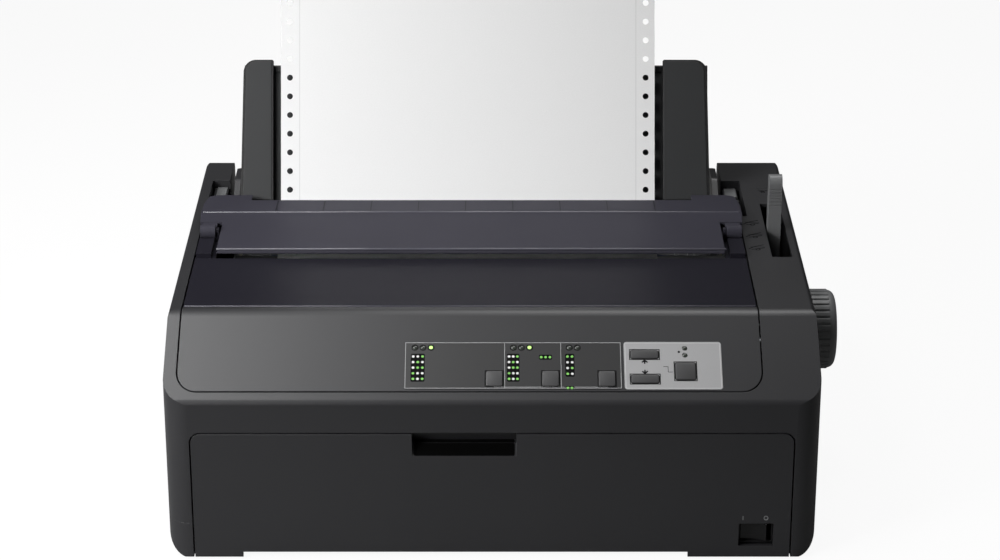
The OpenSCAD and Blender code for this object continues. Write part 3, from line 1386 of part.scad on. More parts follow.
// Lever at the left end of the carriage shaft that sets the gap for thick paper
module gap_lever() {
  color([0.2, 0.35, 0.55]) at_body() difference() {
    along_x(frame_l - frame_t - 5.2, 4.6) translate([carriage_y, carriage_z]) {
      circle(r = 9);
      rotate(12) rounded([[-4, 0], [4, 0], [3, 58], [-3, 58]], [1, 1, 2.9, 2.9]);
    }
    rod_x(frame_l - 20, 40, [carriage_y, carriage_z], carriage_rod_r + fit);
  }
}

// ---------- Electronics ----------

// Rear edge of the boards, and the height at which the connectors begin
board_rear = case_d - 8;
port_low = 27.4;
module main_board() {
  color([0.1, 0.33, 0.16]) at_body() {
    z = pan_z + pan_t + 3;
    for (x = [-142, 10], y = [210, 296])
      translate([x, y, pan_z + pan_t]) cylinder(r = 2.5, h = 3);
    block([-146, 196, z], [18, board_rear, z + board_t]);
    // connectors: middle x, width at the rear wall, height of the top
    for (p = [[-90, 44, 42], [-44, 12, 40], [-8.5, 33, 40]]) {
      block([p[0] - p[1] / 2, board_rear - 22, port_low], [p[0] + p[1] / 2, case_d - 0.6, p[2]]);
      block([p[0] - p[1] / 2 + 3, board_rear - 16, z + board_t],
        [p[0] + p[1] / 2 - 3, board_rear, port_low + 0.2]);
    }
    block([-80, 220, z + board_t], [-52, 248, z + 4]);
    block([-120, 220, z + board_t], [-98, 232, z + 4]);
    for (x = [-30, -16, -2]) translate([x, 226, z + board_t]) cylinder(r = 5, h = 14);
    block([-136, 204, z + board_t], [-100, 210, z + 10]);
  }
}

module power_supply() {
  z = pan_z + pan_t + 4;
  mid = socket_x - 48;
  inlet_z = 37.5;
  color([0.55, 0.5, 0.3]) at_body() {
    for (x = [mid - 52, mid + 58], y = [246, 292])
      translate([x, y, pan_z + pan_t]) cylinder(r = 2.5, h = 4);
    block([mid - 56, 236, z], [mid + 66, board_rear, z + board_t]);
    block([mid - 40, 250, z + board_t], [mid - 6, 282, z + 30]);
    translate([mid + 12, 262, z + board_t]) cylinder(r = 11, h = 34);
    block([mid + 2, 284, z + board_t], [mid + 26, 288, z + 30]);
    block([mid - 48, 290, z + board_t], [mid - 24, 304, z + 16]);
    block([socket_x - 10, board_rear - 12, z + board_t], [socket_x + 10, board_rear - 1, port_low + 1]);
    // mains inlet with its three blades
    difference() {
      block([socket_x - 14, case_d - 24, port_low], [socket_x + 14, case_d - 0.4, 47.8]);
      translate([socket_x, case_d + over, inlet_z]) rotate([90, 0, 0]) linear_extrude(17)
        polygon([[-12, -8.2], [12, -8.2], [12, 3.6], [7.6, 8.2], [-7.6, 8.2], [-12, 3.6]]);
    }
    for (p = [[-7, -1.6], [0, 2.6], [7, -1.6]])
      block([socket_x + p[0] - 1, case_d - 16.4, inlet_z + p[1] - 2],
        [socket_x + p[0] + 1, case_d - 5, inlet_z + p[1] + 2]);
  }
}

// ---------- Paper path ----------

// Moulded trough under the platen with the bar that the paper comes down over
module lower_paper_guide() {
  inner = wrap_r + paper_t / 2 + 0.8;
  x0 = frame_l + 0.1;
  w = frame_r - frame_l - 0.2;
  color([0.2, 0.2, 0.21]) at_body() {
    difference() {
      union() {
        translate([x0, platen_y, platen_z]) rotate([90, 0, 90]) rotate([0, 0, 196])
          rotate_extrude(angle = 84, $fn = 96) translate([inner, 0]) square([2.2, w]);
        // sheet that leads in from the front slot
        along_x(x0, w) polygon([[12, 26], [96, 30], [100, 31.4], [147, 73.5], [145, 75.2], [98, 33.4],
          [95, 32], [12, 28]]);
      }
      // clear of the carriage motor and of the idler's post
      block([drive_x - 26, 50, 20], [frame_r + 1, 112, 50]);
      block([frame_l - 1, 60, 20], [idler_x + 12, 112, 50]);
    }
    // ribs under the sheet
    for (i = [0:5]) along_x(-130 + i * 44, 2)
      polygon([[42, pan_z + pan_t], [96, pan_z + pan_t], [96, 30.4], [42, 27.8]]);
    rod_x(frame_l, frame_r - frame_l, bar_c, bar_r - paper_t / 2 - 0.4);
  }
}

// The paper as one bent sheet: each stretch is drawn along X over the paper's width
module paper_arc(c, r, from, to) {
  translate([paper_l, c[0], c[1]]) rotate([90, 0, 90]) rotate([0, 0, min(from, to)])
    rotate_extrude(angle = abs(to - from), $fn = 128)
      translate([r - paper_t / 2, 0]) square([paper_t, paper_w]);
}
module paper_flat(a, b) {
  n = turn_left(unit(b - a)) * paper_t / 2;
  along_x(paper_l, paper_w) polygon([a - n, b - n, b + n, a + n]);
}
// Length of each stretch from the tractor to the exit
run_len = tractor_y - bar_c[0];
bar_arc = bar_r * (bar_end - 90) * PI / 180;
wrap_from = bar_end + 180;
wrap_arc = wrap_r * (wrap_from - leave) * PI / 180;
exit_from = leave + 180;
exit_to = 360 - guide_lean;
exit_arc = exit_r * (exit_to - exit_from) * PI / 180;
stops = [0, run_len, run_len + bar_arc, run_len + bar_arc + bar_span,
  run_len + bar_arc + bar_span + wrap_arc,
  run_len + bar_arc + bar_span + wrap_arc + exit_span,
  run_len + bar_arc + bar_span + wrap_arc + exit_span + exit_arc,
  run_len + bar_arc + bar_span + wrap_arc + exit_span + exit_arc + guide_run];
// Place and heading of the sheet at distance s from the tractor's top pin
function on_path(s) =
  s <= stops[1] ? [[tractor_y - s, run_z], 180] :
  s <= stops[2] ? let (a = 90 + (s - stops[1]) / bar_r * 180 / PI) [bar_c + bar_r * polar(a), a + 90] :
  s <= stops[3] ? [bar_c + bar_r * polar(bar_end) + (s - stops[2]) * polar(bar_end + 90), bar_end + 90] :
  s <= stops[4] ? let (a = wrap_from - (s - stops[3]) / wrap_r * 180 / PI)
    [platen_c + wrap_r * polar(a), a - 90] :
  s <= stops[5] ? [platen_c + wrap_r * polar(leave) + (s - stops[4]) * polar(leave - 90), leave - 90] :
  s <= stops[6] ? let (a = exit_from + (s - stops[5]) / exit_r * 180 / PI)
    [exit_c + exit_r * polar(a), a + 90] :
  [exit_at + (s - stops[6]) * lean_dir, 90 - guide_lean];

module continuous_paper() {
  nick = 0.01;
  color([0.93, 0.93, 0.93]) at_body() difference() {
    union() {
      paper_flat([tail_y, run_z], on_path(stops[1] - nick)[0]);
      paper_arc(bar_c, bar_r, 90, bar_end);
      paper_flat(on_path(stops[2] + nick)[0], on_path(stops[3] - nick)[0]);
      paper_arc(platen_c, wrap_r, leave, wrap_from);
      paper_flat(on_path(stops[4] + nick)[0], on_path(stops[5] - nick)[0]);
      paper_arc(exit_c, exit_r, exit_from, exit_to);
      paper_flat(on_path(stops[6] + nick)[0], exit_at + guide_run * lean_dir);
    }
    for (i = [-2:floor(stops[7] / hole_pitch)], x = [holes_l, holes_r])
      let (p = on_path(i * hole_pitch))
        translate([x, p[0][0], p[0][1]]) rotate([p[1], 0, 0]) translate([0, 0, -2])
          cylinder(r = hole_r, h = 4, $fn = 24);
  }
}

lower_case();
upper_case();
control_panel();
panel_overlay();
status_overlay();
led_lights();
panel_board();
button_item_up();
button_item_down();
button_set();
button_load();
button_feed();
button_pause();
front_cover();
power_rocker();
switch_body();
rubber_feet();
printer_cover();
cover_flap();
paper_guide();
edge_guide_left();
edge_guide_right();
release_lever();
platen_knob();
chassis_pan();
side_frame_left();
side_frame_right();
platen_roller();
platen_shaft();
shaft_bushes();
platen_gear();
idler_gear_front();
idler_gear_rear();
tractor_gear();
tractor_shaft();
tractor_rod();
tractor_left();
tractor_right();
tractor_cover_left();
tractor_cover_right();
sprocket_left();
sprocket_right();
tractor_lock_left();
tractor_lock_right();
feed_motor();
feed_pinion();
carriage_rails();
carriage();
print_head();
carriage_motor();
drive_pulley();
idler_pulley();
drive_belt();
ribbon_cartridge();
ribbon_knob();
gap_lever();
main_board();
power_supply();
lower_paper_guide();
continuous_paper();
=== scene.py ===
import bpy
import bmesh
from math import radians, cos, sin, pi, atan2, sqrt, hypot
from mathutils import Matrix, Vector


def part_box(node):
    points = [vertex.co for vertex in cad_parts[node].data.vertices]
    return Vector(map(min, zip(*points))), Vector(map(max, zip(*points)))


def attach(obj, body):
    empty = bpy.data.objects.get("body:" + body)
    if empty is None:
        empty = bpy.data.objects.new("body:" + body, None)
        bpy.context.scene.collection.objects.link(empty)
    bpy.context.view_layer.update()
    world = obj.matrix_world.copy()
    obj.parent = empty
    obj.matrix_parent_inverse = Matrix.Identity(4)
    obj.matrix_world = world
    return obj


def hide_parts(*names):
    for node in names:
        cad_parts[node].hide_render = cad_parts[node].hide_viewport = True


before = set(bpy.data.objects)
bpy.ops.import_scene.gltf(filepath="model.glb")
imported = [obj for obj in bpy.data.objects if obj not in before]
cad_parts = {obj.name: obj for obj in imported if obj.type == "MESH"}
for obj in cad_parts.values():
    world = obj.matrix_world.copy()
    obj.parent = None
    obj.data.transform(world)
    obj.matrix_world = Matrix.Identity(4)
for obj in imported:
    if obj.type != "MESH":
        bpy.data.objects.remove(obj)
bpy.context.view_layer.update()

# Places are written in millimetres from the middle of the front face, on the desk.
# FRONT turns them into the frame's metres; SLOPE does so for the key panel's own plane.
MM = 0.001
case_low, case_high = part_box("lower_case")
FRONT = Matrix.Translation(((case_low.x + case_high.x) / 2, case_low.y, 0)) @ Matrix.Scale(MM, 4)
CREASE_Z = 107
PANEL_SLOPE = radians(32.6)
SLOPE = FRONT @ Matrix.Translation((0, 0, CREASE_Z)) @ Matrix.Rotation(PANEL_SLOPE, 4, "X")

# Camera: a long lens in front of the printer, looking 23 degrees down on it.
# The frame is 1000 x 560, with a small sideways shift for the photograph's framing.
lens = bpy.data.cameras.new("front_camera")
lens.lens = 102.6
lens.sensor_width = 36
lens.shift_x = 0.0078
lens.clip_end = 20
camera = bpy.data.objects.new("front_camera", lens)
camera.location = FRONT @ Vector((0, -1554.7, 847.5))
camera.rotation_euler = (radians(67), 0, 0)
bpy.context.scene.collection.objects.link(camera)
bpy.context.scene.camera = camera
bpy.context.scene.view_settings.view_transform = "Standard"


# Studio: a matt white painted sweep under the printer, four softboxes and a plain world.
# Only the camera sees the sweep and the world as white; to the printer they are a dim grey.
def linear(code, alpha=1.0):
    parts = [int(code[i:i + 2], 16) / 255 for i in (1, 3, 5)]
    return [c / 12.92 if c < 0.04045 else ((c + 0.055) / 1.055) ** 2.4 for c in parts] + [alpha]


def add(tree, kind, **settings):
    made = tree.nodes.new("ShaderNode" + kind)
    for key, value in settings.items():
        if not key.startswith("in_"):
            setattr(made, key, value)
            continue
        name = key[3:].replace("_", " ")
        socket = made.inputs[int(name)] if name.isdigit() else made.inputs[name]
        if isinstance(value, bpy.types.NodeSocket):
            tree.links.new(value, socket)
        else:
            socket.default_value = value
    return made


def new_material(name):
    made = bpy.data.materials.new(name)
    made.use_nodes = True
    made.node_tree.nodes.clear()
    return made, made.node_tree


AIR_LIGHT = 0.035
SWEEP_GLOW = 0.93
SWEEP_REACH = 4
world = bpy.data.worlds.new("studio_air")
world.use_nodes = True
air = world.node_tree
air.nodes.clear()
rays = add(air, "LightPath")
grey = add(air, "Background", in_Color=linear("#ffffff"), in_Strength=AIR_LIGHT)
white = add(air, "Background", in_Color=linear("#ffffff"), in_Strength=1.0)
mixed = add(air, "MixShader", in_0=rays.outputs["Is Camera Ray"], in_1=grey.outputs[0],
    in_2=white.outputs[0])
add(air, "OutputWorld", in_Surface=mixed.outputs[0])
bpy.context.scene.world = world

floor_paint, coat = new_material("matt_white_floor_paint")
path = add(coat, "LightPath")
matt = add(coat, "BsdfDiffuse", in_Color=linear("#8c8c8c"))
lit = add(coat, "Emission", in_Color=linear("#ffffff"), in_Strength=1.0)
shade = add(coat, "BsdfDiffuse", in_Color=linear("#ffffff"))
both = add(coat, "MixShader", in_0=SWEEP_GLOW, in_1=shade.outputs[0], in_2=lit.outputs[0])
seen = add(coat, "MixShader", in_0=path.outputs["Is Camera Ray"], in_1=matt.outputs[0],
    in_2=both.outputs[0])
add(coat, "OutputMaterial", in_Surface=seen.outputs[0])

sweep_mesh = bpy.data.meshes.new("floor_sweep")
bm = bmesh.new()
bmesh.ops.create_grid(bm, x_segments=1, y_segments=1, size=SWEEP_REACH)
bm.to_mesh(sweep_mesh)
bm.free()
sweep = bpy.data.objects.new("floor_sweep", sweep_mesh)
sweep_mesh.materials.append(floor_paint)
bpy.context.scene.collection.objects.link(sweep)


def softbox(name, place, aim, width, height, power, spread):
    lamp = bpy.data.lights.new(name, "AREA")
    lamp.shape = "RECTANGLE"
    lamp.size = width
    lamp.size_y = height
    lamp.energy = power
    lamp.spread = radians(spread)
    made = bpy.data.objects.new(name, lamp)
    made.location = place
    made.rotation_euler = (Vector(aim) - Vector(place)).to_track_quat("-Z", "Y").to_euler()
    bpy.context.scene.collection.objects.link(made)


# name, place and aim in the frame's metres, width, height, power in watts, spread in degrees
softbox("left_softbox", (-1.25, -0.95, 0.85), (-0.35, -0.05, 0.12), 0.7, 0.7, 4.6, 65)
softbox("top_softbox", (-0.55, -0.12, 1.25), (-0.32, -0.1, 0.12), 0.5, 0.5, 1.9, 80)
softbox("front_softbox", (-1.2, -1.9, 1.2), (-0.42, 0, 0.15), 0.9, 0.9, 0.95, 50)
softbox("rear_softbox", (0.2, 0.55, 1.3), (0.12, 0.06, 0.12), 0.6, 0.5, 1.5, 90)


# Case mouldings: lower case, upper case, key panel and front cover in charcoal ABS.
# They are injection moulded, and spark erosion of the tool leaves a fine satin grain.
def moulded(name, code, rough, grain=0.5, depth=0.03, edge=0.35, clear=1.0, shine=0.5):
    made, tree = new_material(name)
    place = add(tree, "TexCoord").outputs["Object"]
    grit = add(tree, "TexNoise", in_Vector=place, in_Scale=1 / (grain * MM), in_Detail=2.0)
    cloud = add(tree, "TexNoise", in_Vector=place, in_Scale=1 / (70 * MM), in_Detail=3.0)
    tone = linear(code)
    tint = add(tree, "Mix", data_type="RGBA", in_0=cloud.outputs[0],
        in_6=[c * 0.92 for c in tone[:3]] + [1], in_7=[c * 1.1 for c in tone[:3]] + [1])
    gloss = add(tree, "MapRange", in_Value=grit.outputs[0], in_3=rough - 0.04, in_4=rough + 0.04)
    worn = add(tree, "Bevel", samples=4, in_Radius=edge * MM)
    bump = add(tree, "Bump", in_Strength=0.4, in_Distance=depth * MM, in_Height=grit.outputs[0],
        in_Normal=worn.outputs[0])
    plastic = add(tree, "BsdfPrincipled", in_Base_Color=tint.outputs[2],
        in_Roughness=gloss.outputs[0], in_IOR=1.5, in_Specular_IOR_Level=shine,
        in_Normal=bump.outputs[0])
    if clear < 1:
        plastic.inputs["Alpha"].default_value = clear
    add(tree, "OutputMaterial", in_Surface=plastic.outputs[0])
    return made


def dress(material, *names):
    for name in names:
        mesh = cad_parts[name].data
        mesh.materials.clear()
        mesh.materials.append(material)


charcoal = moulded("charcoal_abs_spark_eroded", "#29292b", 0.4)
dress(charcoal, "lower_case", "upper_case", "control_panel", "front_cover")

# Marks beside the lever's slot: a little sheet over a roller at each stop, in thin dark lines.
# They look like the tool's engraving in the moulding, but lie on top of it; they say nothing.
def new_piece(name, bm, body, material, slot, *replaced):
    mesh = bpy.data.meshes.new(name)
    bm.to_mesh(mesh)
    bm.free()
    made = bpy.data.objects.new(name, mesh)
    mesh.materials.append(material)
    bpy.context.scene.collection.objects.link(made)
    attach(made, body)
    if replaced:
        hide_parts(*replaced)
    return made


def tile(bm, x0, y0, x1, y1, low, high, corner=0.0, segments=4):
    centre = Matrix.Translation(((x0 + x1) / 2, (y0 + y1) / 2, low))
    size = Matrix.Diagonal((x1 - x0, y1 - y0, 1, 1))
    verts = bmesh.ops.create_grid(bm, x_segments=1, y_segments=1, size=0.5,
        matrix=centre @ size)["verts"]
    if corner:
        verts = bmesh.ops.bevel(bm, geom=verts, offset=corner, offset_type="OFFSET",
            segments=segments, profile=0.5, affect="VERTICES", material=-1)["verts"]
    face = max(verts[0].link_faces, key=lambda f: len(f.verts))
    raised = bmesh.ops.extrude_face_region(bm, geom=[face], use_keep_orig=True)["geom"]
    top = [v for v in raised if isinstance(v, bmesh.types.BMVert)]
    bmesh.ops.translate(bm, verts=top, vec=(0, 0, high - low))
    return top


def disc(bm, x, y, r, low, high, segments=16):
    made = bmesh.ops.create_cone(bm, cap_ends=True, segments=segments, radius1=r, radius2=r,
        depth=high - low, matrix=Matrix.Translation((x, y, (low + high) / 2)))
    return made["verts"]


def place_all(bm, matrix):
    bmesh.ops.transform(bm, matrix=matrix, verts=bm.verts)
    bmesh.ops.recalc_face_normals(bm, faces=bm.faces)


def ink(name, code, rough=0.55, shine=0.5):
    made, tree = new_material(name)
    place = add(tree, "TexCoord").outputs["Object"]
    grit = add(tree, "TexNoise", in_Vector=place, in_Scale=1 / (0.25 * MM))
    tone = linear(code)
    tint = add(tree, "Mix", data_type="RGBA", in_0=grit.outputs[0],
        in_6=[c * 0.88 for c in tone[:3]] + [1], in_7=tone)
    print_film = add(tree, "BsdfPrincipled", in_Base_Color=tint.outputs[2], in_Roughness=rough,
        in_Specular_IOR_Level=shine)
    add(tree, "OutputMaterial", in_Surface=print_film.outputs[0])
    return made


CASE_TOP = 143
INK = 0.04
MARK_TOP = CASE_TOP + INK
STROKE = 0.7
ROLLER_STROKE = 0.6
LEVER_STOPS = (160, 181, 203)
lever_mark_black = ink("near_black_lever_marks", "#060607", 0.8, 0.1)
bm = bmesh.new()


def bar(bm, x0, y0, x1, y1, width, low, high):
    length = hypot(x1 - x0, y1 - y0)
    before = set(bm.verts)
    tile(bm, -length / 2, -width / 2, length / 2, width / 2, low, high)
    bmesh.ops.transform(bm, verts=[v for v in bm.verts if v not in before],
        matrix=Matrix.Translation(((x0 + x1) / 2, (y0 + y1) / 2, 0))
        @ Matrix.Rotation(atan2(y1 - y0, x1 - x0), 4, "Z"))


def ring(bm, x, y, r, width, low, high, segments=28):
    loops = [bmesh.ops.create_circle(bm, segments=segments, radius=size,
        matrix=Matrix.Translation((x, y, low)))["verts"] for size in (r - width, r)]
    edges = list({e for v in loops[0] + loops[1] for e in v.link_edges})
    flat = bmesh.ops.bridge_loops(bm, edges=edges)["faces"]
    up = bmesh.ops.extrude_face_region(bm, geom=flat, use_keep_orig=True)["geom"]
    bmesh.ops.translate(bm, verts=[v for v in up if isinstance(v, bmesh.types.BMVert)],
        vec=(0, 0, high - low))


for y in LEVER_STOPS:
    bar(bm, 166.5, y - 3.4, 170.5, y + 0.6, STROKE, CASE_TOP, MARK_TOP)
    bar(bm, 170.5, y + 0.6, 176.8, y + 3.6, STROKE, CASE_TOP, MARK_TOP)
    bar(bm, 168.5, y - 4.2, 177.2, y - 1.4, STROKE, CASE_TOP, MARK_TOP)
    ring(bm, 172.6, y - 4.0, 1.6, ROLLER_STROKE, CASE_TOP, MARK_TOP, 16)
bar(bm, 181.4, 262.6, 186, 260.2, STROKE, CASE_TOP, MARK_TOP)
bar(bm, 182.2, 259.0, 188.6, 261.6, STROKE, CASE_TOP, MARK_TOP)
ring(bm, 184.6, 258.4, 1.4, ROLLER_STROKE, CASE_TOP, MARK_TOP, 16)
place_all(bm, FRONT)
new_piece("lever_marks", bm, "case", lever_mark_black, "case_plastic")

# Painted light in the two pockets behind the cover's arms: mid-grey plates laid on the ribs there.
# They stand in for the light on the pockets' rear walls, which the lamps leave in shade.
pocket_painted_light = moulded("mid_grey_painted_light_plate", "#636465", 0.9, grain=0.7, depth=0.12, shine=0.1)
SEAT_BASE = 137
SEAT_THICK = 0.8
SEAT_CORNER = 0.8
SEAT_EDGE = 0.3
SEAT_FRONT = 262.8
for name, x0, x1, y1 in (("left", -189.2, -182.4, 282.6), ("right", 159.4, 167.4, 280.8)):
    bm = bmesh.new()
    rim = tile(bm, x0, SEAT_FRONT, x1, y1, SEAT_BASE, SEAT_BASE + SEAT_THICK, SEAT_CORNER)
    rim_edges = list({e for v in rim for e in v.link_edges if all(w in rim for w in e.verts)})
    bmesh.ops.bevel(bm, geom=rim_edges, offset=SEAT_EDGE, offset_type="OFFSET", segments=2,
        profile=0.5, affect="EDGES", material=-1)
    place_all(bm, FRONT)
    new_piece("painted_light_plate_" + name, bm, "case", pocket_painted_light, "case_plastic")

# Films on the key panel: a dark grey film round the small keys and a silver one beside it.
# Both are screen printed behind clear polyester and stuck down; the windows are punched.
KEY_ROW = 17
KEY_W = 10.3
KEY_H = KEY_W + 0.6
FLAT_KEY_X = 92.9
FLAT_KEY_W = 17.0
FLAT_KEY_H = 6.0
PAUSE_W = 12.4
# each key: its middle's x, its place up the slope, its width and height
KEYS = {
    "item_up": (1.2, KEY_ROW, KEY_W, KEY_H),
    "item_down": (35.4, KEY_ROW, KEY_W, KEY_H),
    "set": (69.7, KEY_ROW, KEY_W, KEY_H),
    "load": (FLAT_KEY_X, 34.5, FLAT_KEY_W, FLAT_KEY_H),
    "feed": (FLAT_KEY_X, 16.8, FLAT_KEY_W, FLAT_KEY_H),
    "pause": (117.6, 22.4, PAUSE_W, PAUSE_W),
}
LED_ROW = 39.5
# each light: its x, and whether it is lit
LEDS = {-47.2: False, -42.3: False, -37.4: True, 13.0: False, 17.9: False, 22.8: True,
    47.1: False, 52.0: False}
FILM = 0.3
PRINT_TOP = FILM + INK
DARK_BORDER = (-53.1, 10.1, 78.5, 43.3)
BORDER_W = 0.35
DIVIDERS = (7.6, 41.9)
DIVIDER_HALF = 0.15
STUB_HALF = 0.2


def film(name, code, rough, coat_rough):
    made, tree = new_material(name)
    place = add(tree, "TexCoord").outputs["Object"]
    grit = add(tree, "TexNoise", in_Vector=place, in_Scale=1 / (0.35 * MM), in_Detail=1.0)
    tone = linear(code)
    tint = add(tree, "Mix", data_type="RGBA", in_0=grit.outputs[0],
        in_6=[c * 0.94 for c in tone[:3]] + [1], in_7=[c * 1.04 for c in tone[:3]] + [1])
    bump = add(tree, "Bump", in_Strength=0.15, in_Distance=0.01 * MM, in_Height=grit.outputs[0])
    shader = add(tree, "BsdfPrincipled", in_Base_Color=tint.outputs[2], in_Roughness=rough,
        in_Coat_Weight=0.3, in_Coat_Roughness=coat_rough, in_Normal=bump.outputs[0])
    add(tree, "OutputMaterial", in_Surface=shader.outputs[0])
    return made


dark_film = film("dark_grey_printed_polyester_film", "#212122", 0.4, 0.3)
silver_film = film("silver_printed_polyester_film", "#9c9c9d", 0.42, 0.3)
dress(dark_film, "panel_overlay")
dress(silver_film, "status_overlay")

line_ink = ink("light_grey_screen_print", "#a4a5a6")
bm = bmesh.new()


def outline(bm, x0, y0, x1, y1, width, low, high):
    tile(bm, x0, y0, x1, y0 + width, low, high)
    tile(bm, x0, y1 - width, x1, y1, low, high)
    tile(bm, x0, y0 + width, x0 + width, y1 - width, low, high)
    tile(bm, x1 - width, y0 + width, x1, y1 - width, low, high)


outline(bm, *DARK_BORDER, BORDER_W, FILM, PRINT_TOP)
for x in DIVIDERS:
    tile(bm, x - DIVIDER_HALF, 10.5, x + DIVIDER_HALF, 42.9, FILM, PRINT_TOP)
for x0, x1, stubs in ((1.2, 35.4, (1.2, 35.4)), (36.6, 43.6, (36.6,)), (49.9, 69.7, (69.7,))):
    tile(bm, x0, 10.9, x1, 11.2, FILM, PRINT_TOP)
    for x in stubs:
        tile(bm, x - STUB_HALF, 11.2, x + STUB_HALF, 11.4, FILM, PRINT_TOP)
place_all(bm, SLOPE)
new_piece("film_lines", bm, "case", line_ink, "dark_overlay")

# Legend blocks on the dark film: rows of small dots, white or green, on black pads.
# The dots are screen printed; each row of them marks one choice of the indicator lights.
green_ink = ink("green_screen_print", "#7cc45c")
white_ink = ink("white_screen_print", "#d8d8d8")
pad_and_shadow_ink = ink("black_screen_print_and_painted_shadow", "#070708", 0.6, 0.08)
# each block: x from and to, its place up the slope from and to, its rows from the top down
LEGENDS = (
    (-49.6, -41.1, 14.9, 35.1, ("wwg", "wgw", "wgg", "gww", "gwg")),
    (9.0, 16.6, 14.9, 35.1, ("wwg", "wgw", "wgg", "gww", "gwg")),
    (28.6, 36.5, 30.8, 34.4, ("ggg",)),
    (44.5, 50.1, 18.5, 35.1, ("gg", "ww", "wg", "gw")),
)
DOT_R = 0.85
DOT_TOP = FILM + 2 * INK
PAD_CORNER = 0.9
LINE_DOTS = (45.9, 48.3)
LINE_DOTS_ROW = 10.4
LINE_PAD = (44.6, 9.9, 49.6, 11.7)
LINE_PAD_CORNER = 0.6
KEY_SHADOW_NEAR = 0.6
KEY_SHADOW_FAR = 0.7
KEY_SHADOW_W = 0.4
pads = bmesh.new()
white_dots = bmesh.new()
green_dots = bmesh.new()
dots = {"w": white_dots, "g": green_dots}
for x0, x1, u0, u1, rows in LEGENDS:
    row_step = (u1 - u0) / len(rows)
    tile(pads, x0, u0, x1, u1, FILM, PRINT_TOP, PAD_CORNER)
    for i, row in enumerate(rows):
        u = u1 - (i + 0.5) * row_step
        column_step = (x1 - x0) / len(row)
        for j, colour in enumerate(row):
            disc(dots[colour], x0 + (j + 0.5) * column_step, u, DOT_R, PRINT_TOP, DOT_TOP)
for x in LINE_DOTS:
    disc(green_dots, x, LINE_DOTS_ROW, DOT_R, PRINT_TOP, DOT_TOP)
tile(pads, *LINE_PAD, FILM + INK / 2, PRINT_TOP, LINE_PAD_CORNER)
# Painted shadow: a black outline round each of the three small keys, set a little further out on the
# right and the bottom, stands in for the shade at the keys' edges.
for key in ("item_up", "item_down", "set"):
    x, u, w, h = KEYS[key]
    outline(pads, x - w / 2 - KEY_SHADOW_NEAR, u - h / 2 - KEY_SHADOW_FAR, x + w / 2 + KEY_SHADOW_FAR,
        u + h / 2 + KEY_SHADOW_NEAR, KEY_SHADOW_W, FILM, PRINT_TOP)
for bm, name, material in ((pads, "legend_pads_and_key_shadows", pad_and_shadow_ink), (white_dots, "legend_white_dots", white_ink),
        (green_dots, "legend_green_dots", green_ink)):
    place_all(bm, SLOPE)
    new_piece(name, bm, "case", material, "dark_overlay")

# Signs on the silver film: an arrow up and one down between the flat keys, a dot, a zigzag line.
# They are printed in black on the back of the film, as are the dark fields round its keys.
ARROW_STROKE = 0.9
ZIGZAG = ((104.2, 25.6, 107.2, 25.9), (106.9, 22.0, 107.2, 25.6), (106.9, 21.7, 109.8, 22.0))
ALIGN_DOT = (114.0, 36.4, 0.8)
FIELD_GAP = 0.9
FIELD_W = 0.55
SILVER_BORDER = (81.0, 10.1, 139.2, 43.0)
SILVER_BORDER_W = 0.3
bm = bmesh.new()
for u, way in ((29.0, 1), (22.3, -1)):
    for half in (-1, 1):
        bar(bm, FLAT_KEY_X + half * 1.7, u - way * 0.2, FLAT_KEY_X, u + way * 1.5, ARROW_STROKE,
            FILM, PRINT_TOP)
    tile(bm, 92.2, min(u, u + way * 0.9), 93.6, max(u, u + way * 0.9), FILM, FILM + 1.4 * INK)
    tile(bm, 92.5, min(u, u - way * 1.2), 93.3, max(u, u - way * 1.2), FILM, PRINT_TOP)
for stretch in ZIGZAG:
    tile(bm, *stretch, FILM, PRINT_TOP)
disc(bm, *ALIGN_DOT, FILM, PRINT_TOP)
for key in ("load", "feed", "pause"):
    x, u, w, h = KEYS[key]
    outline(bm, x - w / 2 - FIELD_GAP, u - h / 2 - FIELD_GAP, x + w / 2 + FIELD_GAP,
        u + h / 2 + FIELD_GAP, FIELD_W, FILM, PRINT_TOP)
place_all(bm, SLOPE)
black_ink = ink("black_film_print", "#141415", 0.6, 0.15)
new_piece("silver_film_signs", bm, "case", black_ink, "silver_overlay")
bm = bmesh.new()
outline(bm, *SILVER_BORDER, SILVER_BORDER_W, FILM, PRINT_TOP)
place_all(bm, SLOPE)
edge_ink = ink("pale_film_edge", "#c9c9ca")
new_piece("silver_film_edge", bm, "case", edge_ink, "silver_overlay")

# Indicator lights: acrylic light guides in the film's windows, two of them lit green.
# Unlit guides look smoky; a lit one glows from the diode below it.
clear_guide, tree = new_material("smoky_acrylic_light_guide")
place = add(tree, "TexCoord").outputs["Object"]
haze = add(tree, "TexNoise", in_Vector=place, in_Scale=1 / (1.5 * MM))
tint = add(tree, "Mix", data_type="RGBA", in_0=haze.outputs[0], in_6=linear("#2a2d2a"),
    in_7=linear("#3b403a"))
guide_shader = add(tree, "BsdfPrincipled", in_Base_Color=tint.outputs[2], in_Roughness=0.25,
    in_IOR=1.49)
add(tree, "OutputMaterial", in_Surface=guide_shader.outputs[0])
dress(clear_guide, "led_lights")

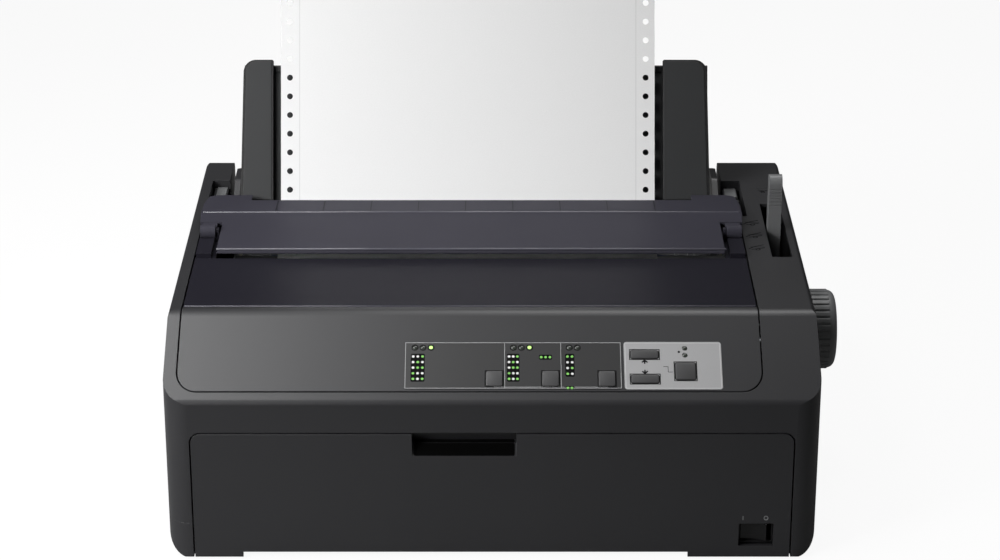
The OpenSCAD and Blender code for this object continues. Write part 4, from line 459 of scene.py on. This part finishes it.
lit_green, tree = new_material("lit_green_light_guide")
place = add(tree, "TexCoord").outputs["Object"]
haze = add(tree, "TexNoise", in_Vector=place, in_Scale=1 / (0.8 * MM))
glow = add(tree, "Mix", data_type="RGBA", in_0=haze.outputs[0], in_6=linear("#a9ea6a"),
    in_7=linear("#d6ff9c"))
lamp_shader = add(tree, "BsdfPrincipled", in_Base_Color=linear("#9fd870"), in_Roughness=0.3,
    in_Emission_Color=glow.outputs[2], in_Emission_Strength=0.9)
add(tree, "OutputMaterial", in_Surface=lamp_shader.outputs[0])
LIT_R = 1.15
LIT_LOW = 0.55
LIT_TOP = 0.62
RING_R = 2.15
RING_W = 0.4
bm = bmesh.new()
for x, on in LEDS.items():
    if on:
        disc(bm, x, LED_ROW, LIT_R, LIT_LOW, LIT_TOP, 24)
place_all(bm, SLOPE)
new_piece("lit_lights", bm, "case", lit_green, "light_guides")
bm = bmesh.new()
for x in LEDS:
    ring(bm, x, LED_ROW, RING_R, RING_W, FILM, PRINT_TOP)
place_all(bm, SLOPE)
new_piece("light_rings", bm, "case", pad_and_shadow_ink, "dark_overlay")

# Keys: six dark ABS caps in their wells, with flat tops and a rounded rim.
# Each is one moulding with its stem; it rides with its own key.
key_abs = moulded("dark_grey_key_abs", "#3a3a3b", 0.42, grain=0.35)
CAP_TOP = 0.9
CAP_FOOT = -5.8
CAP_CORNER = 1.2
CAP_RIM = 0.45
for key, (x, u, w, h) in KEYS.items():
    bm = bmesh.new()
    tile(bm, x - w / 2, u - h / 2, x + w / 2, u + h / 2, CAP_FOOT, CAP_TOP, CAP_CORNER, 5)
    top = max(bm.faces, key=lambda f: f.calc_center_median().z)
    bmesh.ops.bevel(bm, geom=list(top.edges), offset=CAP_RIM, offset_type="OFFSET", segments=3,
        profile=0.5, affect="EDGES", material=-1)
    place_all(bm, SLOPE)
    cap = new_piece("key_cap_" + key, bm, "key_" + key, key_abs, "key_plastic", "button_" + key)
    cap.data.shade_smooth()
    cap.data.set_sharp_from_angle(angle=radians(40))

# Painted shade in the finger recess: a near-black matt sheet laid on the slope and the ledge of the
# grip.
# It stands in for the shade of the deep recess and is no lining; the photograph shows only a black
# recess.
recess_shade_sheet, tree = new_material("black_painted_shade_sheet")
place = add(tree, "TexCoord").outputs["Object"]
shade_speckle = add(tree, "TexNoise", in_Vector=place, in_Scale=1 / (0.4 * MM))
tint = add(tree, "Mix", data_type="RGBA", in_0=shade_speckle.outputs[0], in_6=linear("#020202"),
    in_7=linear("#060606"))
shade_surface = add(tree, "BsdfPrincipled", in_Base_Color=tint.outputs[2], in_Roughness=1.0,
    in_Specular_IOR_Level=0.05)
add(tree, "OutputMaterial", in_Surface=shade_surface.outputs[0])
GRIP_X = -17
GRIP_W = 63.7
GRIP_MIDDLE = (0, 2.5, 74.35)
GRIP_RUN = 5
GRIP_RISE = 6.7
SHADE_SHEET_GAP = 1.2
SHADE_SHEET_THICK = 0.15
SHADE_SHEET_CORNER = 0.8
LEDGE = 77.7
LEDGE_SHADE_SHEET_TOP = 77.85
grip_l = GRIP_X - GRIP_W / 2
grip_r = GRIP_X + GRIP_W / 2
bm = bmesh.new()
tile(bm, grip_l + SHADE_SHEET_GAP, -3.9, grip_r - SHADE_SHEET_GAP, 4.1, 0, SHADE_SHEET_THICK, SHADE_SHEET_CORNER)
place_all(bm, FRONT @ Matrix.Translation(GRIP_MIDDLE)
    @ Matrix.Rotation(atan2(GRIP_RISE, GRIP_RUN), 4, "X"))
new_piece("recess_slope_painted_shade", bm, "door", recess_shade_sheet, "case_plastic")
bm = bmesh.new()
tile(bm, grip_l + SHADE_SHEET_GAP, 5.2, grip_r - SHADE_SHEET_GAP, 9.8, LEDGE, LEDGE_SHADE_SHEET_TOP, SHADE_SHEET_CORNER)
place_all(bm, FRONT)
new_piece("recess_ledge_painted_shade", bm, "door", recess_shade_sheet, "case_plastic")

# Power switch in the front cover's corner: a gloss black rocker, and its two marks beside it.
# The rocker is a polished ABS moulding; the marks are pad-printed on the cover.
gloss_black = moulded("gloss_black_rocker_abs", "#0d0d0e", 0.16, grain=0.2, depth=0.004, edge=0.3)
dress(gloss_black, "power_rocker")
satin_black = moulded("satin_black_pa66", "#101011", 0.45, grain=0.4)
dress(satin_black, "switch_body", "carriage", "sprocket_left", "sprocket_right")
FACE = FRONT @ Matrix.Rotation(radians(90), 4, "X")
mark_ink = ink("pale_pad_print", "#9b9c9e")
ON_BAR = (153.9, 27.3, 154.3, 30.1)
OFF_RING = (168.2, 28.7, 1.45, 0.4)
bm = bmesh.new()
tile(bm, *ON_BAR, 0, INK)
ring(bm, *OFF_RING, 0, INK)
place_all(bm, FACE)
new_piece("switch_marks", bm, "door", mark_ink, "case_plastic")

# Printer cover and flap: smoked polycarbonate, a little bluish and barely see-through.
# Both are injection moulded; the flap's top is grained, its crease and front edge are polished beads
# with a lighter tone as painted highlight.
smoked_cover = moulded("smoked_polycarbonate_polished", "#1f1e25", 0.42, grain=0.6, depth=0.004,
    edge=0.7, clear=0.94, shine=0.08)
smoked_flap = moulded("smoked_polycarbonate_grained", "#37363e", 0.5, grain=0.45, depth=0.05,
    edge=0.6, clear=0.97, shine=0.05)
dress(smoked_cover, "printer_cover")
dress(smoked_flap, "cover_flap")
flap_low, flap_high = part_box("cover_flap")
FLAP_TOP = 149
CREASE_Y = 206.3
flap_l = (flap_low.x - FRONT.translation.x) / MM
flap_r = (flap_high.x - FRONT.translation.x) / MM
# each bead: x from and to, its middle's y and z, its radius
CREASE_BEAD = (flap_l + 1.2, flap_r - 1.2, CREASE_Y, FLAP_TOP - 0.35, 0.95)
FLAP_FRONT_BEAD = (-178, 151, 143.4, FLAP_TOP - 0.75, 0.8)
COVER_FRONT_BEAD = (-190.6, 163, 64.3, CASE_TOP - 0.45, 0.5)
# The beads' lighter tone is painted highlight; their gloss catches the lamps as well.
glossy_bead_painted_highlight = moulded("polycarbonate_edge_gloss_painted_highlight", "#4b4a52", 0.12, grain=0.3, depth=0.002)


def bead(bm, x0, x1, y, z, r):
    made = bmesh.ops.create_cone(bm, cap_ends=True, segments=16, radius1=r, radius2=r, depth=x1 - x0,
        matrix=Matrix.Translation(((x0 + x1) / 2, y, z)) @ Matrix.Rotation(radians(90), 4, "Y"))
    rims = [e for e in {e for v in made["verts"] for e in v.link_edges}
        if len(max(e.link_faces, key=lambda f: len(f.verts)).verts) > 4]
    bmesh.ops.bevel(bm, geom=rims, offset=r * 0.5, offset_type="OFFSET", segments=2, profile=0.5,
        affect="EDGES", material=-1)


bm = bmesh.new()
bead(bm, *CREASE_BEAD)
bead(bm, *FLAP_FRONT_BEAD)
place_all(bm, FRONT)
beads = new_piece("flap_edge_beads_painted_highlight", bm, "flap", glossy_bead_painted_highlight, "smoked_plastic")
beads.data.shade_smooth()

# Rib lines on the flap's rear slope: thin dark strips where ribs show through the smoked moulding.
# They are thin strips that lie on the flap and ride with it; no ribs are built right below them.
REAR_DROP = 5
REAR_RUN = 43.9
REAR_SLOPE = FRONT @ Matrix.Translation((0, CREASE_Y, FLAP_TOP)) @ Matrix.Rotation(
    atan2(-REAR_DROP, REAR_RUN), 4, "X")
RIB_COUNT = 9
RIB_FIRST = -144.2
RIB_STEP = 31.6
RIB_HALF = 0.3
RIB_FROM = 3.0
RIB_TO = 29.0
RIB_LOW = 0.02
RIB_HIGH = 0.07
rib_line = ink("dark_line_where_a_rib_shows", "#17161c", 0.6, 0.1)
bm = bmesh.new()
for i in range(RIB_COUNT):
    x = RIB_FIRST + i * RIB_STEP
    tile(bm, x - RIB_HALF, RIB_FROM, x + RIB_HALF, RIB_TO, RIB_LOW, RIB_HIGH)
place_all(bm, REAR_SLOPE)
new_piece("flap_rib_lines", bm, "flap", rib_line, "smoked_plastic")

# Front edge of the printer cover: the same polished polycarbonate bead, rounded in the mould; its
# lighter tone is painted highlight.
# It is part of the cover's moulding and rides with it.
bm = bmesh.new()
bead(bm, *COVER_FRONT_BEAD)
place_all(bm, FRONT)
front_edge = new_piece("cover_front_edge", bm, "cover", glossy_bead_painted_highlight, "smoked_plastic")
front_edge.data.shade_smooth()

# Paper guide and its two edge guides: charcoal ABS panels, grained on the faces that are seen.
# Each edge guide's shell is painted near black as shade, for its edges that turn away from the light and
# the gap beside the plate; a plate of the guide's grey lies in front of it.
guide_abs = moulded("guide_abs_grained", "#2b2c2d", 0.5, grain=0.55, depth=0.05, shine=0.4)
guide_shell_painted_shade = moulded("guide_shell_black_painted_shade", "#0b0b0c", 0.5, grain=0.4)
dress(guide_abs, "paper_guide", "lower_paper_guide")
dress(guide_shell_painted_shade, "edge_guide_left", "edge_guide_right")
GUIDE_LEAN = radians(23)
GUIDE_HINGE = (0, 266, 131)
GUIDE = FRONT @ Matrix.Translation(GUIDE_HINGE) @ Matrix.Rotation(-GUIDE_LEAN, 4, "X")
GUIDE_FOOT = 2.4
GUIDE_HEAD = 98.2
UPRIGHT = Matrix.Rotation(radians(90), 4, "X")
PLATE_Y = -14.2
PLATE_THICK = 0.25
PLATE_ARC = 7.2
PLATE_RIM = 0.2
FOOT_GAP = 0.6
HEAD_GAP = 0.9
FLARE = 2.2
# each side: the guide's x from and to, the plate's gaps to these, where the shell's painted shade shows,
# which way is outwards
EDGE_GUIDES = (("left", -169.2, -149.1, 1.7, 1.4, -1), ("right", 116.3, 146.1, 0.4, 1.7, 1))
for side, x0, x1, gap0, gap1, outer in EDGE_GUIDES:
    bm = bmesh.new()
    left = x0 + gap0
    right = x1 - gap1
    tile(bm, left, GUIDE_FOOT + FOOT_GAP, right, GUIDE_HEAD - HEAD_GAP, 0, PLATE_THICK)
    head = [v for v in bm.verts if v.co.y > 50 and (v.co.x - (left + right) / 2) * outer > 0]
    corner = [e for v in head for e in v.link_edges if abs(e.verts[0].co.z - e.verts[1].co.z) > 0.1]
    bmesh.ops.bevel(bm, geom=list(set(corner)), offset=PLATE_ARC, offset_type="OFFSET", segments=8,
        profile=0.5, affect="EDGES", material=-1)
    foot = [v for v in bm.verts if v.co.y < 10 and (v.co.x - (left + right) / 2) * outer > 0]
    bmesh.ops.translate(bm, verts=foot, vec=(outer * FLARE, 0, 0))
    rim = [e for e in bm.edges if all(v.co.z > 0.2 for v in e.verts)]
    bmesh.ops.bevel(bm, geom=rim, offset=PLATE_RIM, offset_type="OFFSET", segments=2, profile=0.5,
        affect="EDGES", material=-1)
    place_all(bm, GUIDE @ Matrix.Translation((0, PLATE_Y, 0)) @ UPRIGHT)
    new_piece("edge_plate_" + side, bm, "edge_" + side, guide_abs, "guide_plastic")

# Release lever and platen knob: mid-grey ABS, both fine from the tool; the knob's lighter grey is partly
# painted light from above.
# The lever pivots on a stud of the frame; the knob is pressed on the platen's shaft.
grip_abs = moulded("mid_grey_abs", "#6a6b6c", 0.42, grain=0.45, depth=0.04, edge=0.5)
dress(grip_abs, "release_lever")
# The knob's grey is raised above the lever's as painted light, for the light from above that the lamps
# don't give it.
knob_grey_and_painted_light = moulded("grey_abs_with_painted_light", "#8c8d8e", 0.42, grain=0.45, depth=0.04, edge=0.5)
dress(knob_grey_and_painted_light, "platen_knob")

# Platen, shafts and rails: ground hard rubber on steel that is turned and centreless ground.
# The grinding leaves hair-fine rings round the bars; feet and belt are of a softer rubber.
def bar_steel(name, code, rough, pitch):
    made, tree = new_material(name)
    place = add(tree, "TexCoord").outputs["Object"]
    along = add(tree, "Mapping", in_Vector=place, in_Scale=(1 / (pitch * MM), 40, 40))
    rings = add(tree, "TexNoise", in_Vector=along.outputs[0], in_Scale=1.0, in_Detail=3.0)
    tone = linear(code)
    tint = add(tree, "Mix", data_type="RGBA", in_0=rings.outputs[0],
        in_6=[c * 0.85 for c in tone[:3]] + [1], in_7=tone)
    gloss = add(tree, "MapRange", in_Value=rings.outputs[0], in_3=rough - 0.06, in_4=rough + 0.08)
    metal = add(tree, "BsdfPrincipled", in_Base_Color=tint.outputs[2], in_Metallic=1.0,
        in_Roughness=gloss.outputs[0])
    add(tree, "OutputMaterial", in_Surface=metal.outputs[0])
    return made


bright_bar = bar_steel("ground_bright_steel_bar", "#c3c4c6", 0.24, 0.5)
dress(bright_bar, "platen_shaft", "tractor_shaft", "tractor_rod", "carriage_rails")
platen_rubber = moulded("ground_hard_rubber", "#141415", 0.72, grain=0.3, depth=0.02)
dress(platen_rubber, "platen_roller")
foot_rubber = moulded("soft_black_rubber", "#0e0e0e", 0.85, grain=0.5)
dress(foot_rubber, "rubber_feet", "drive_belt")

# Gear train: natural acetal wheels on studs, and a brass pinion on the motor.
# The wheels are moulded in off-white; the pinion and the belt's pulley are hobbed from bar.
acetal = moulded("natural_acetal", "#d9d6c8", 0.38, grain=0.8, depth=0.01)
dress(acetal, "shaft_bushes", "platen_gear", "idler_gear_front", "idler_gear_rear", "tractor_gear")
brass = bar_steel("hobbed_brass", "#b8954f", 0.28, 0.25)
dress(brass, "feed_pinion", "drive_pulley")

# Chassis: zinc-plated steel sheet, punched and folded, with the soft spangle of the plating.
# The motor cans and the idler are plated the same way.
zinc, tree = new_material("zinc_plated_steel_sheet")
place = add(tree, "TexCoord").outputs["Object"]
spangle = add(tree, "TexVoronoi", in_Vector=place, in_Scale=1 / (9 * MM))
haze = add(tree, "TexNoise", in_Vector=place, in_Scale=1 / (2 * MM), in_Detail=3.0)
tint = add(tree, "Mix", data_type="RGBA", in_0=spangle.outputs["Color"], in_6=linear("#9b9ea2"),
    in_7=linear("#b6b9bc"))
gloss = add(tree, "MapRange", in_Value=haze.outputs[0], in_3=0.3, in_4=0.46)
plating = add(tree, "BsdfPrincipled", in_Base_Color=tint.outputs[2], in_Metallic=1.0,
    in_Roughness=gloss.outputs[0])
add(tree, "OutputMaterial", in_Surface=plating.outputs[0])
dress(zinc, "chassis_pan", "side_frame_left", "side_frame_right", "carriage_motor", "feed_motor",
    "idler_pulley")

# Tractors: glass-filled black nylon frames and covers with blue lock levers.
# They are moulded; the fibres leave a faint dry grain. The print head's gap lever is blue too.
tractor_nylon = moulded("glass_filled_nylon", "#1d1e20", 0.5, grain=0.6, depth=0.04)
dress(tractor_nylon, "tractor_left", "tractor_right", "tractor_cover_left", "tractor_cover_right")
lock_blue = moulded("blue_acetal_lever", "#1d3f6e", 0.3, grain=0.5, depth=0.01)
dress(lock_blue, "tractor_lock_left", "tractor_lock_right", "gap_lever")

# Print head, ribbon cartridge and its knob: a black anodised casting and black polystyrene shells.
# The head's fins are cast; the cartridge is moulded in two halves and welded.
cast_black = moulded("black_anodised_die_casting", "#232425", 0.4, grain=0.7, depth=0.06)
dress(cast_black, "print_head")
cartridge_shell = moulded("black_polystyrene", "#121213", 0.3, grain=0.5, depth=0.02)
dress(cartridge_shell, "ribbon_cartridge", "ribbon_knob")


# Circuit boards: green solder mask with dark parts on top; the parts begin at a set height.
# The boards are glass-epoxy laminate; their traces show as a faint pattern in the mask.
def board(name, height):
    made, tree = new_material(name)
    place = add(tree, "TexCoord").outputs["Object"]
    split = add(tree, "SeparateXYZ", in_Vector=place)
    traces = add(tree, "TexBrick", in_Vector=place, in_Scale=1 / (24 * MM),
        in_Color1=linear("#1c5a30"), in_Color2=linear("#17502a"), in_Mortar=linear("#2f7a44"))
    parts = add(tree, "TexNoise", in_Vector=place, in_Scale=1 / (14 * MM))
    dark = add(tree, "Mix", data_type="RGBA", in_0=parts.outputs[0], in_6=linear("#141416"),
        in_7=linear("#3a3b3e"))
    above = add(tree, "MapRange", in_Value=split.outputs["Z"], in_1=height * MM,
        in_2=(height + 0.2) * MM)
    tint = add(tree, "Mix", data_type="RGBA", in_0=above.outputs[0], in_6=traces.outputs[0],
        in_7=dark.outputs[2])
    mask = add(tree, "BsdfPrincipled", in_Base_Color=tint.outputs[2], in_Roughness=0.35)
    add(tree, "OutputMaterial", in_Surface=mask.outputs[0])
    return made


dress(board("main_board_solder_mask", 13.15), "main_board")
dress(board("power_board_solder_mask", 14.15), "power_supply")
dress(board("key_board_solder_mask", 400), "panel_board")

# Continuous paper: one white sheet, 254 mm wide, its edges punched every 12.7 mm for the tractors.
# It is cut flat, then bent over the bar, round the platen and up the guide; the edges tear off.
PAPER_W = 254
PAPER_L = -143.6
PITCH = 12.7
HOLE_EDGE = 6.1
TAIL = -27
PAPER_TOP = 280
MARGIN = 12.7
PAPER_GAP = 0.3
PAPER_HALF = 0.125
SPROCKET_PINS = 8
SPROCKET_SUNK = 0.37
PLATEN_R = 17.5
# the path's points are a depth from the front and a height; it starts above the tractor shaft
tractor_at = (275, 88)
hub_r = SPROCKET_PINS * PITCH / (2 * pi) - SPROCKET_SUNK
run_z = tractor_at[1] + hub_r + PAPER_GAP + PAPER_HALF
platen_c = Vector((165, 82.75))
wrap_r = PLATEN_R + PAPER_GAP + PAPER_HALF
BAR_R = 10
bar_c = Vector((238, run_z - BAR_R))
exit_at = Vector((251.6, CASE_TOP))
EXIT_R = 30
lean_dir = Vector((sin(GUIDE_LEAN), cos(GUIDE_LEAN)))
exit_c = exit_at + EXIT_R * Vector((-lean_dir.y, lean_dir.x))


def polar(angle):
    return Vector((cos(angle), sin(angle)))


to_platen = platen_c - bar_c
bar_span = sqrt(to_platen.length ** 2 - (BAR_R + wrap_r) ** 2)
bar_end = atan2(to_platen.y, to_platen.x) + 2 * pi - atan2(bar_span, BAR_R + wrap_r)
to_exit = exit_c - platen_c
exit_span = sqrt(to_exit.length ** 2 - (EXIT_R + wrap_r) ** 2)
leave = atan2(to_exit.y, to_exit.x) + atan2(exit_span, EXIT_R + wrap_r)
wrap_from = bar_end + pi
exit_from = leave + pi
stretches = [tractor_at[0] - bar_c.x, BAR_R * (bar_end - pi / 2), bar_span, wrap_r * (wrap_from - leave),
    exit_span, EXIT_R * (2 * pi - GUIDE_LEAN - exit_from), (PAPER_TOP - exit_at.y) / lean_dir.y]


def on_path(s):
    if s <= stretches[0]:
        return Vector((tractor_at[0] - s, run_z))
    s -= stretches[0]
    if s <= stretches[1]:
        return bar_c + BAR_R * polar(pi / 2 + s / BAR_R)
    s -= stretches[1]
    if s <= stretches[2]:
        return bar_c + BAR_R * polar(bar_end) + s * polar(bar_end + pi / 2)
    s -= stretches[2]
    if s <= stretches[3]:
        return platen_c + wrap_r * polar(wrap_from - s / wrap_r)
    s -= stretches[3]
    if s <= stretches[4]:
        return platen_c + wrap_r * polar(leave) + s * polar(leave - pi / 2)
    s -= stretches[4]
    if s <= stretches[5]:
        return exit_c + EXIT_R * polar(exit_from + s / EXIT_R)
    return exit_at + (s - stretches[5]) * lean_dir


length = sum(stretches)
SIDE = 8
HOLE_R = 2
END_CUT = 0.05
SHEET_THICK = 0.16
bm = bmesh.new()
for x_hole, x_mid in ((HOLE_EDGE, MARGIN / 2), (PAPER_W - HOLE_EDGE, PAPER_W - MARGIN / 2)):
    cell = bmesh.ops.create_grid(bm, x_segments=SIDE, y_segments=SIDE, size=PITCH / 2,
        matrix=Matrix.Translation((x_mid, 0, 0)))["verts"]
    inner = [v for v in cell if not v.is_boundary]
    rim = [v for v in cell if v.is_boundary]
    bmesh.ops.delete(bm, geom=inner, context="VERTS")
    hole = bmesh.ops.create_circle(bm, segments=4 * SIDE, radius=HOLE_R,
        matrix=Matrix.Translation((x_hole, 0, 0)) @ Matrix.Rotation(radians(45), 4, "Z"))["verts"]
    bmesh.ops.bridge_loops(bm, edges=list({e for v in rim + hole for e in v.link_edges}))
COLUMNS = 8
inside = PAPER_W - 2 * MARGIN
bmesh.ops.create_grid(bm, x_segments=COLUMNS, y_segments=SIDE, size=0.5,
    matrix=Matrix.Translation((PAPER_W / 2, 0, 0)) @ Matrix.Diagonal((inside, PITCH, 1, 1)))
first = int(TAIL // PITCH) + 1
last = int(length // PITCH) + 1
bmesh.ops.translate(bm, verts=bm.verts, vec=(0, first * PITCH, 0))
strip = bm.verts[:] + bm.edges[:] + bm.faces[:]
for i in range(1, last - first + 1):
    copy = bmesh.ops.duplicate(bm, geom=strip)["geom"]
    bmesh.ops.translate(bm, verts=[v for v in copy if isinstance(v, bmesh.types.BMVert)],
        vec=(0, i * PITCH, 0))
bmesh.ops.remove_doubles(bm, verts=bm.verts, dist=0.01)
for s_cut, way in ((TAIL + END_CUT, -1), (length - END_CUT, 1)):
    bmesh.ops.bisect_plane(bm, geom=bm.verts[:] + bm.edges[:] + bm.faces[:], plane_co=(0, s_cut, 0),
        plane_no=(0, way, 0), clear_outer=True)
flat_map = bm.loops.layers.uv.new("flat_sheet")
for face in bm.faces:
    for loop in face.loops:
        loop[flat_map].uv = (loop.vert.co.x * MM, loop.vert.co.y * MM)
for vert in bm.verts:
    at = on_path(vert.co.y)
    vert.co = FRONT @ Vector((PAPER_L + vert.co.x, at.x, at.y))
bmesh.ops.recalc_face_normals(bm, faces=bm.faces)

paper, tree = new_material("white_uncoated_paper")
sheet_uv = add(tree, "UVMap", uv_map="flat_sheet").outputs[0]
fibre = add(tree, "TexNoise", in_Vector=sheet_uv, in_Scale=1 / (0.9 * MM), in_Detail=4.0)
across = add(tree, "SeparateXYZ", in_Vector=sheet_uv).outputs["X"]
from_middle = add(tree, "Math", operation="SUBTRACT", in_0=across, in_1=PAPER_W * MM / 2).outputs[0]
from_middle = add(tree, "Math", operation="ABSOLUTE", in_0=from_middle).outputs[0]
off_line = add(tree, "Math", operation="SUBTRACT", in_0=from_middle,
    in_1=(PAPER_W / 2 - MARGIN) * MM).outputs[0]
off_line = add(tree, "Math", operation="ABSOLUTE", in_0=off_line).outputs[0]
perforation = add(tree, "MapRange", in_Value=off_line, in_1=0.1 * MM, in_2=0.3 * MM, in_3=1.0,
    in_4=0.0)
white_tint = add(tree, "Mix", data_type="RGBA", in_0=fibre.outputs[0], in_6=linear("#dcdcdc"),
    in_7=linear("#e4e4e4"))
paper_tint = add(tree, "Mix", data_type="RGBA", in_0=perforation.outputs[0],
    in_6=white_tint.outputs[2], in_7=linear("#c9c9c9"))
tooth = add(tree, "Bump", in_Strength=0.2, in_Distance=0.01 * MM, in_Height=fibre.outputs[0])
pulp = add(tree, "BsdfPrincipled", in_Base_Color=paper_tint.outputs[2], in_Roughness=0.9,
    in_Specular_IOR_Level=0.2, in_Normal=tooth.outputs[0])
add(tree, "OutputMaterial", in_Surface=pulp.outputs[0])
sheet = new_piece("punched_paper", bm, "case", paper, "paper_stock", "continuous_paper")
thick = sheet.modifiers.new("thickness", "SOLIDIFY")
thick.thickness = SHEET_THICK * MM
thick.offset = 0
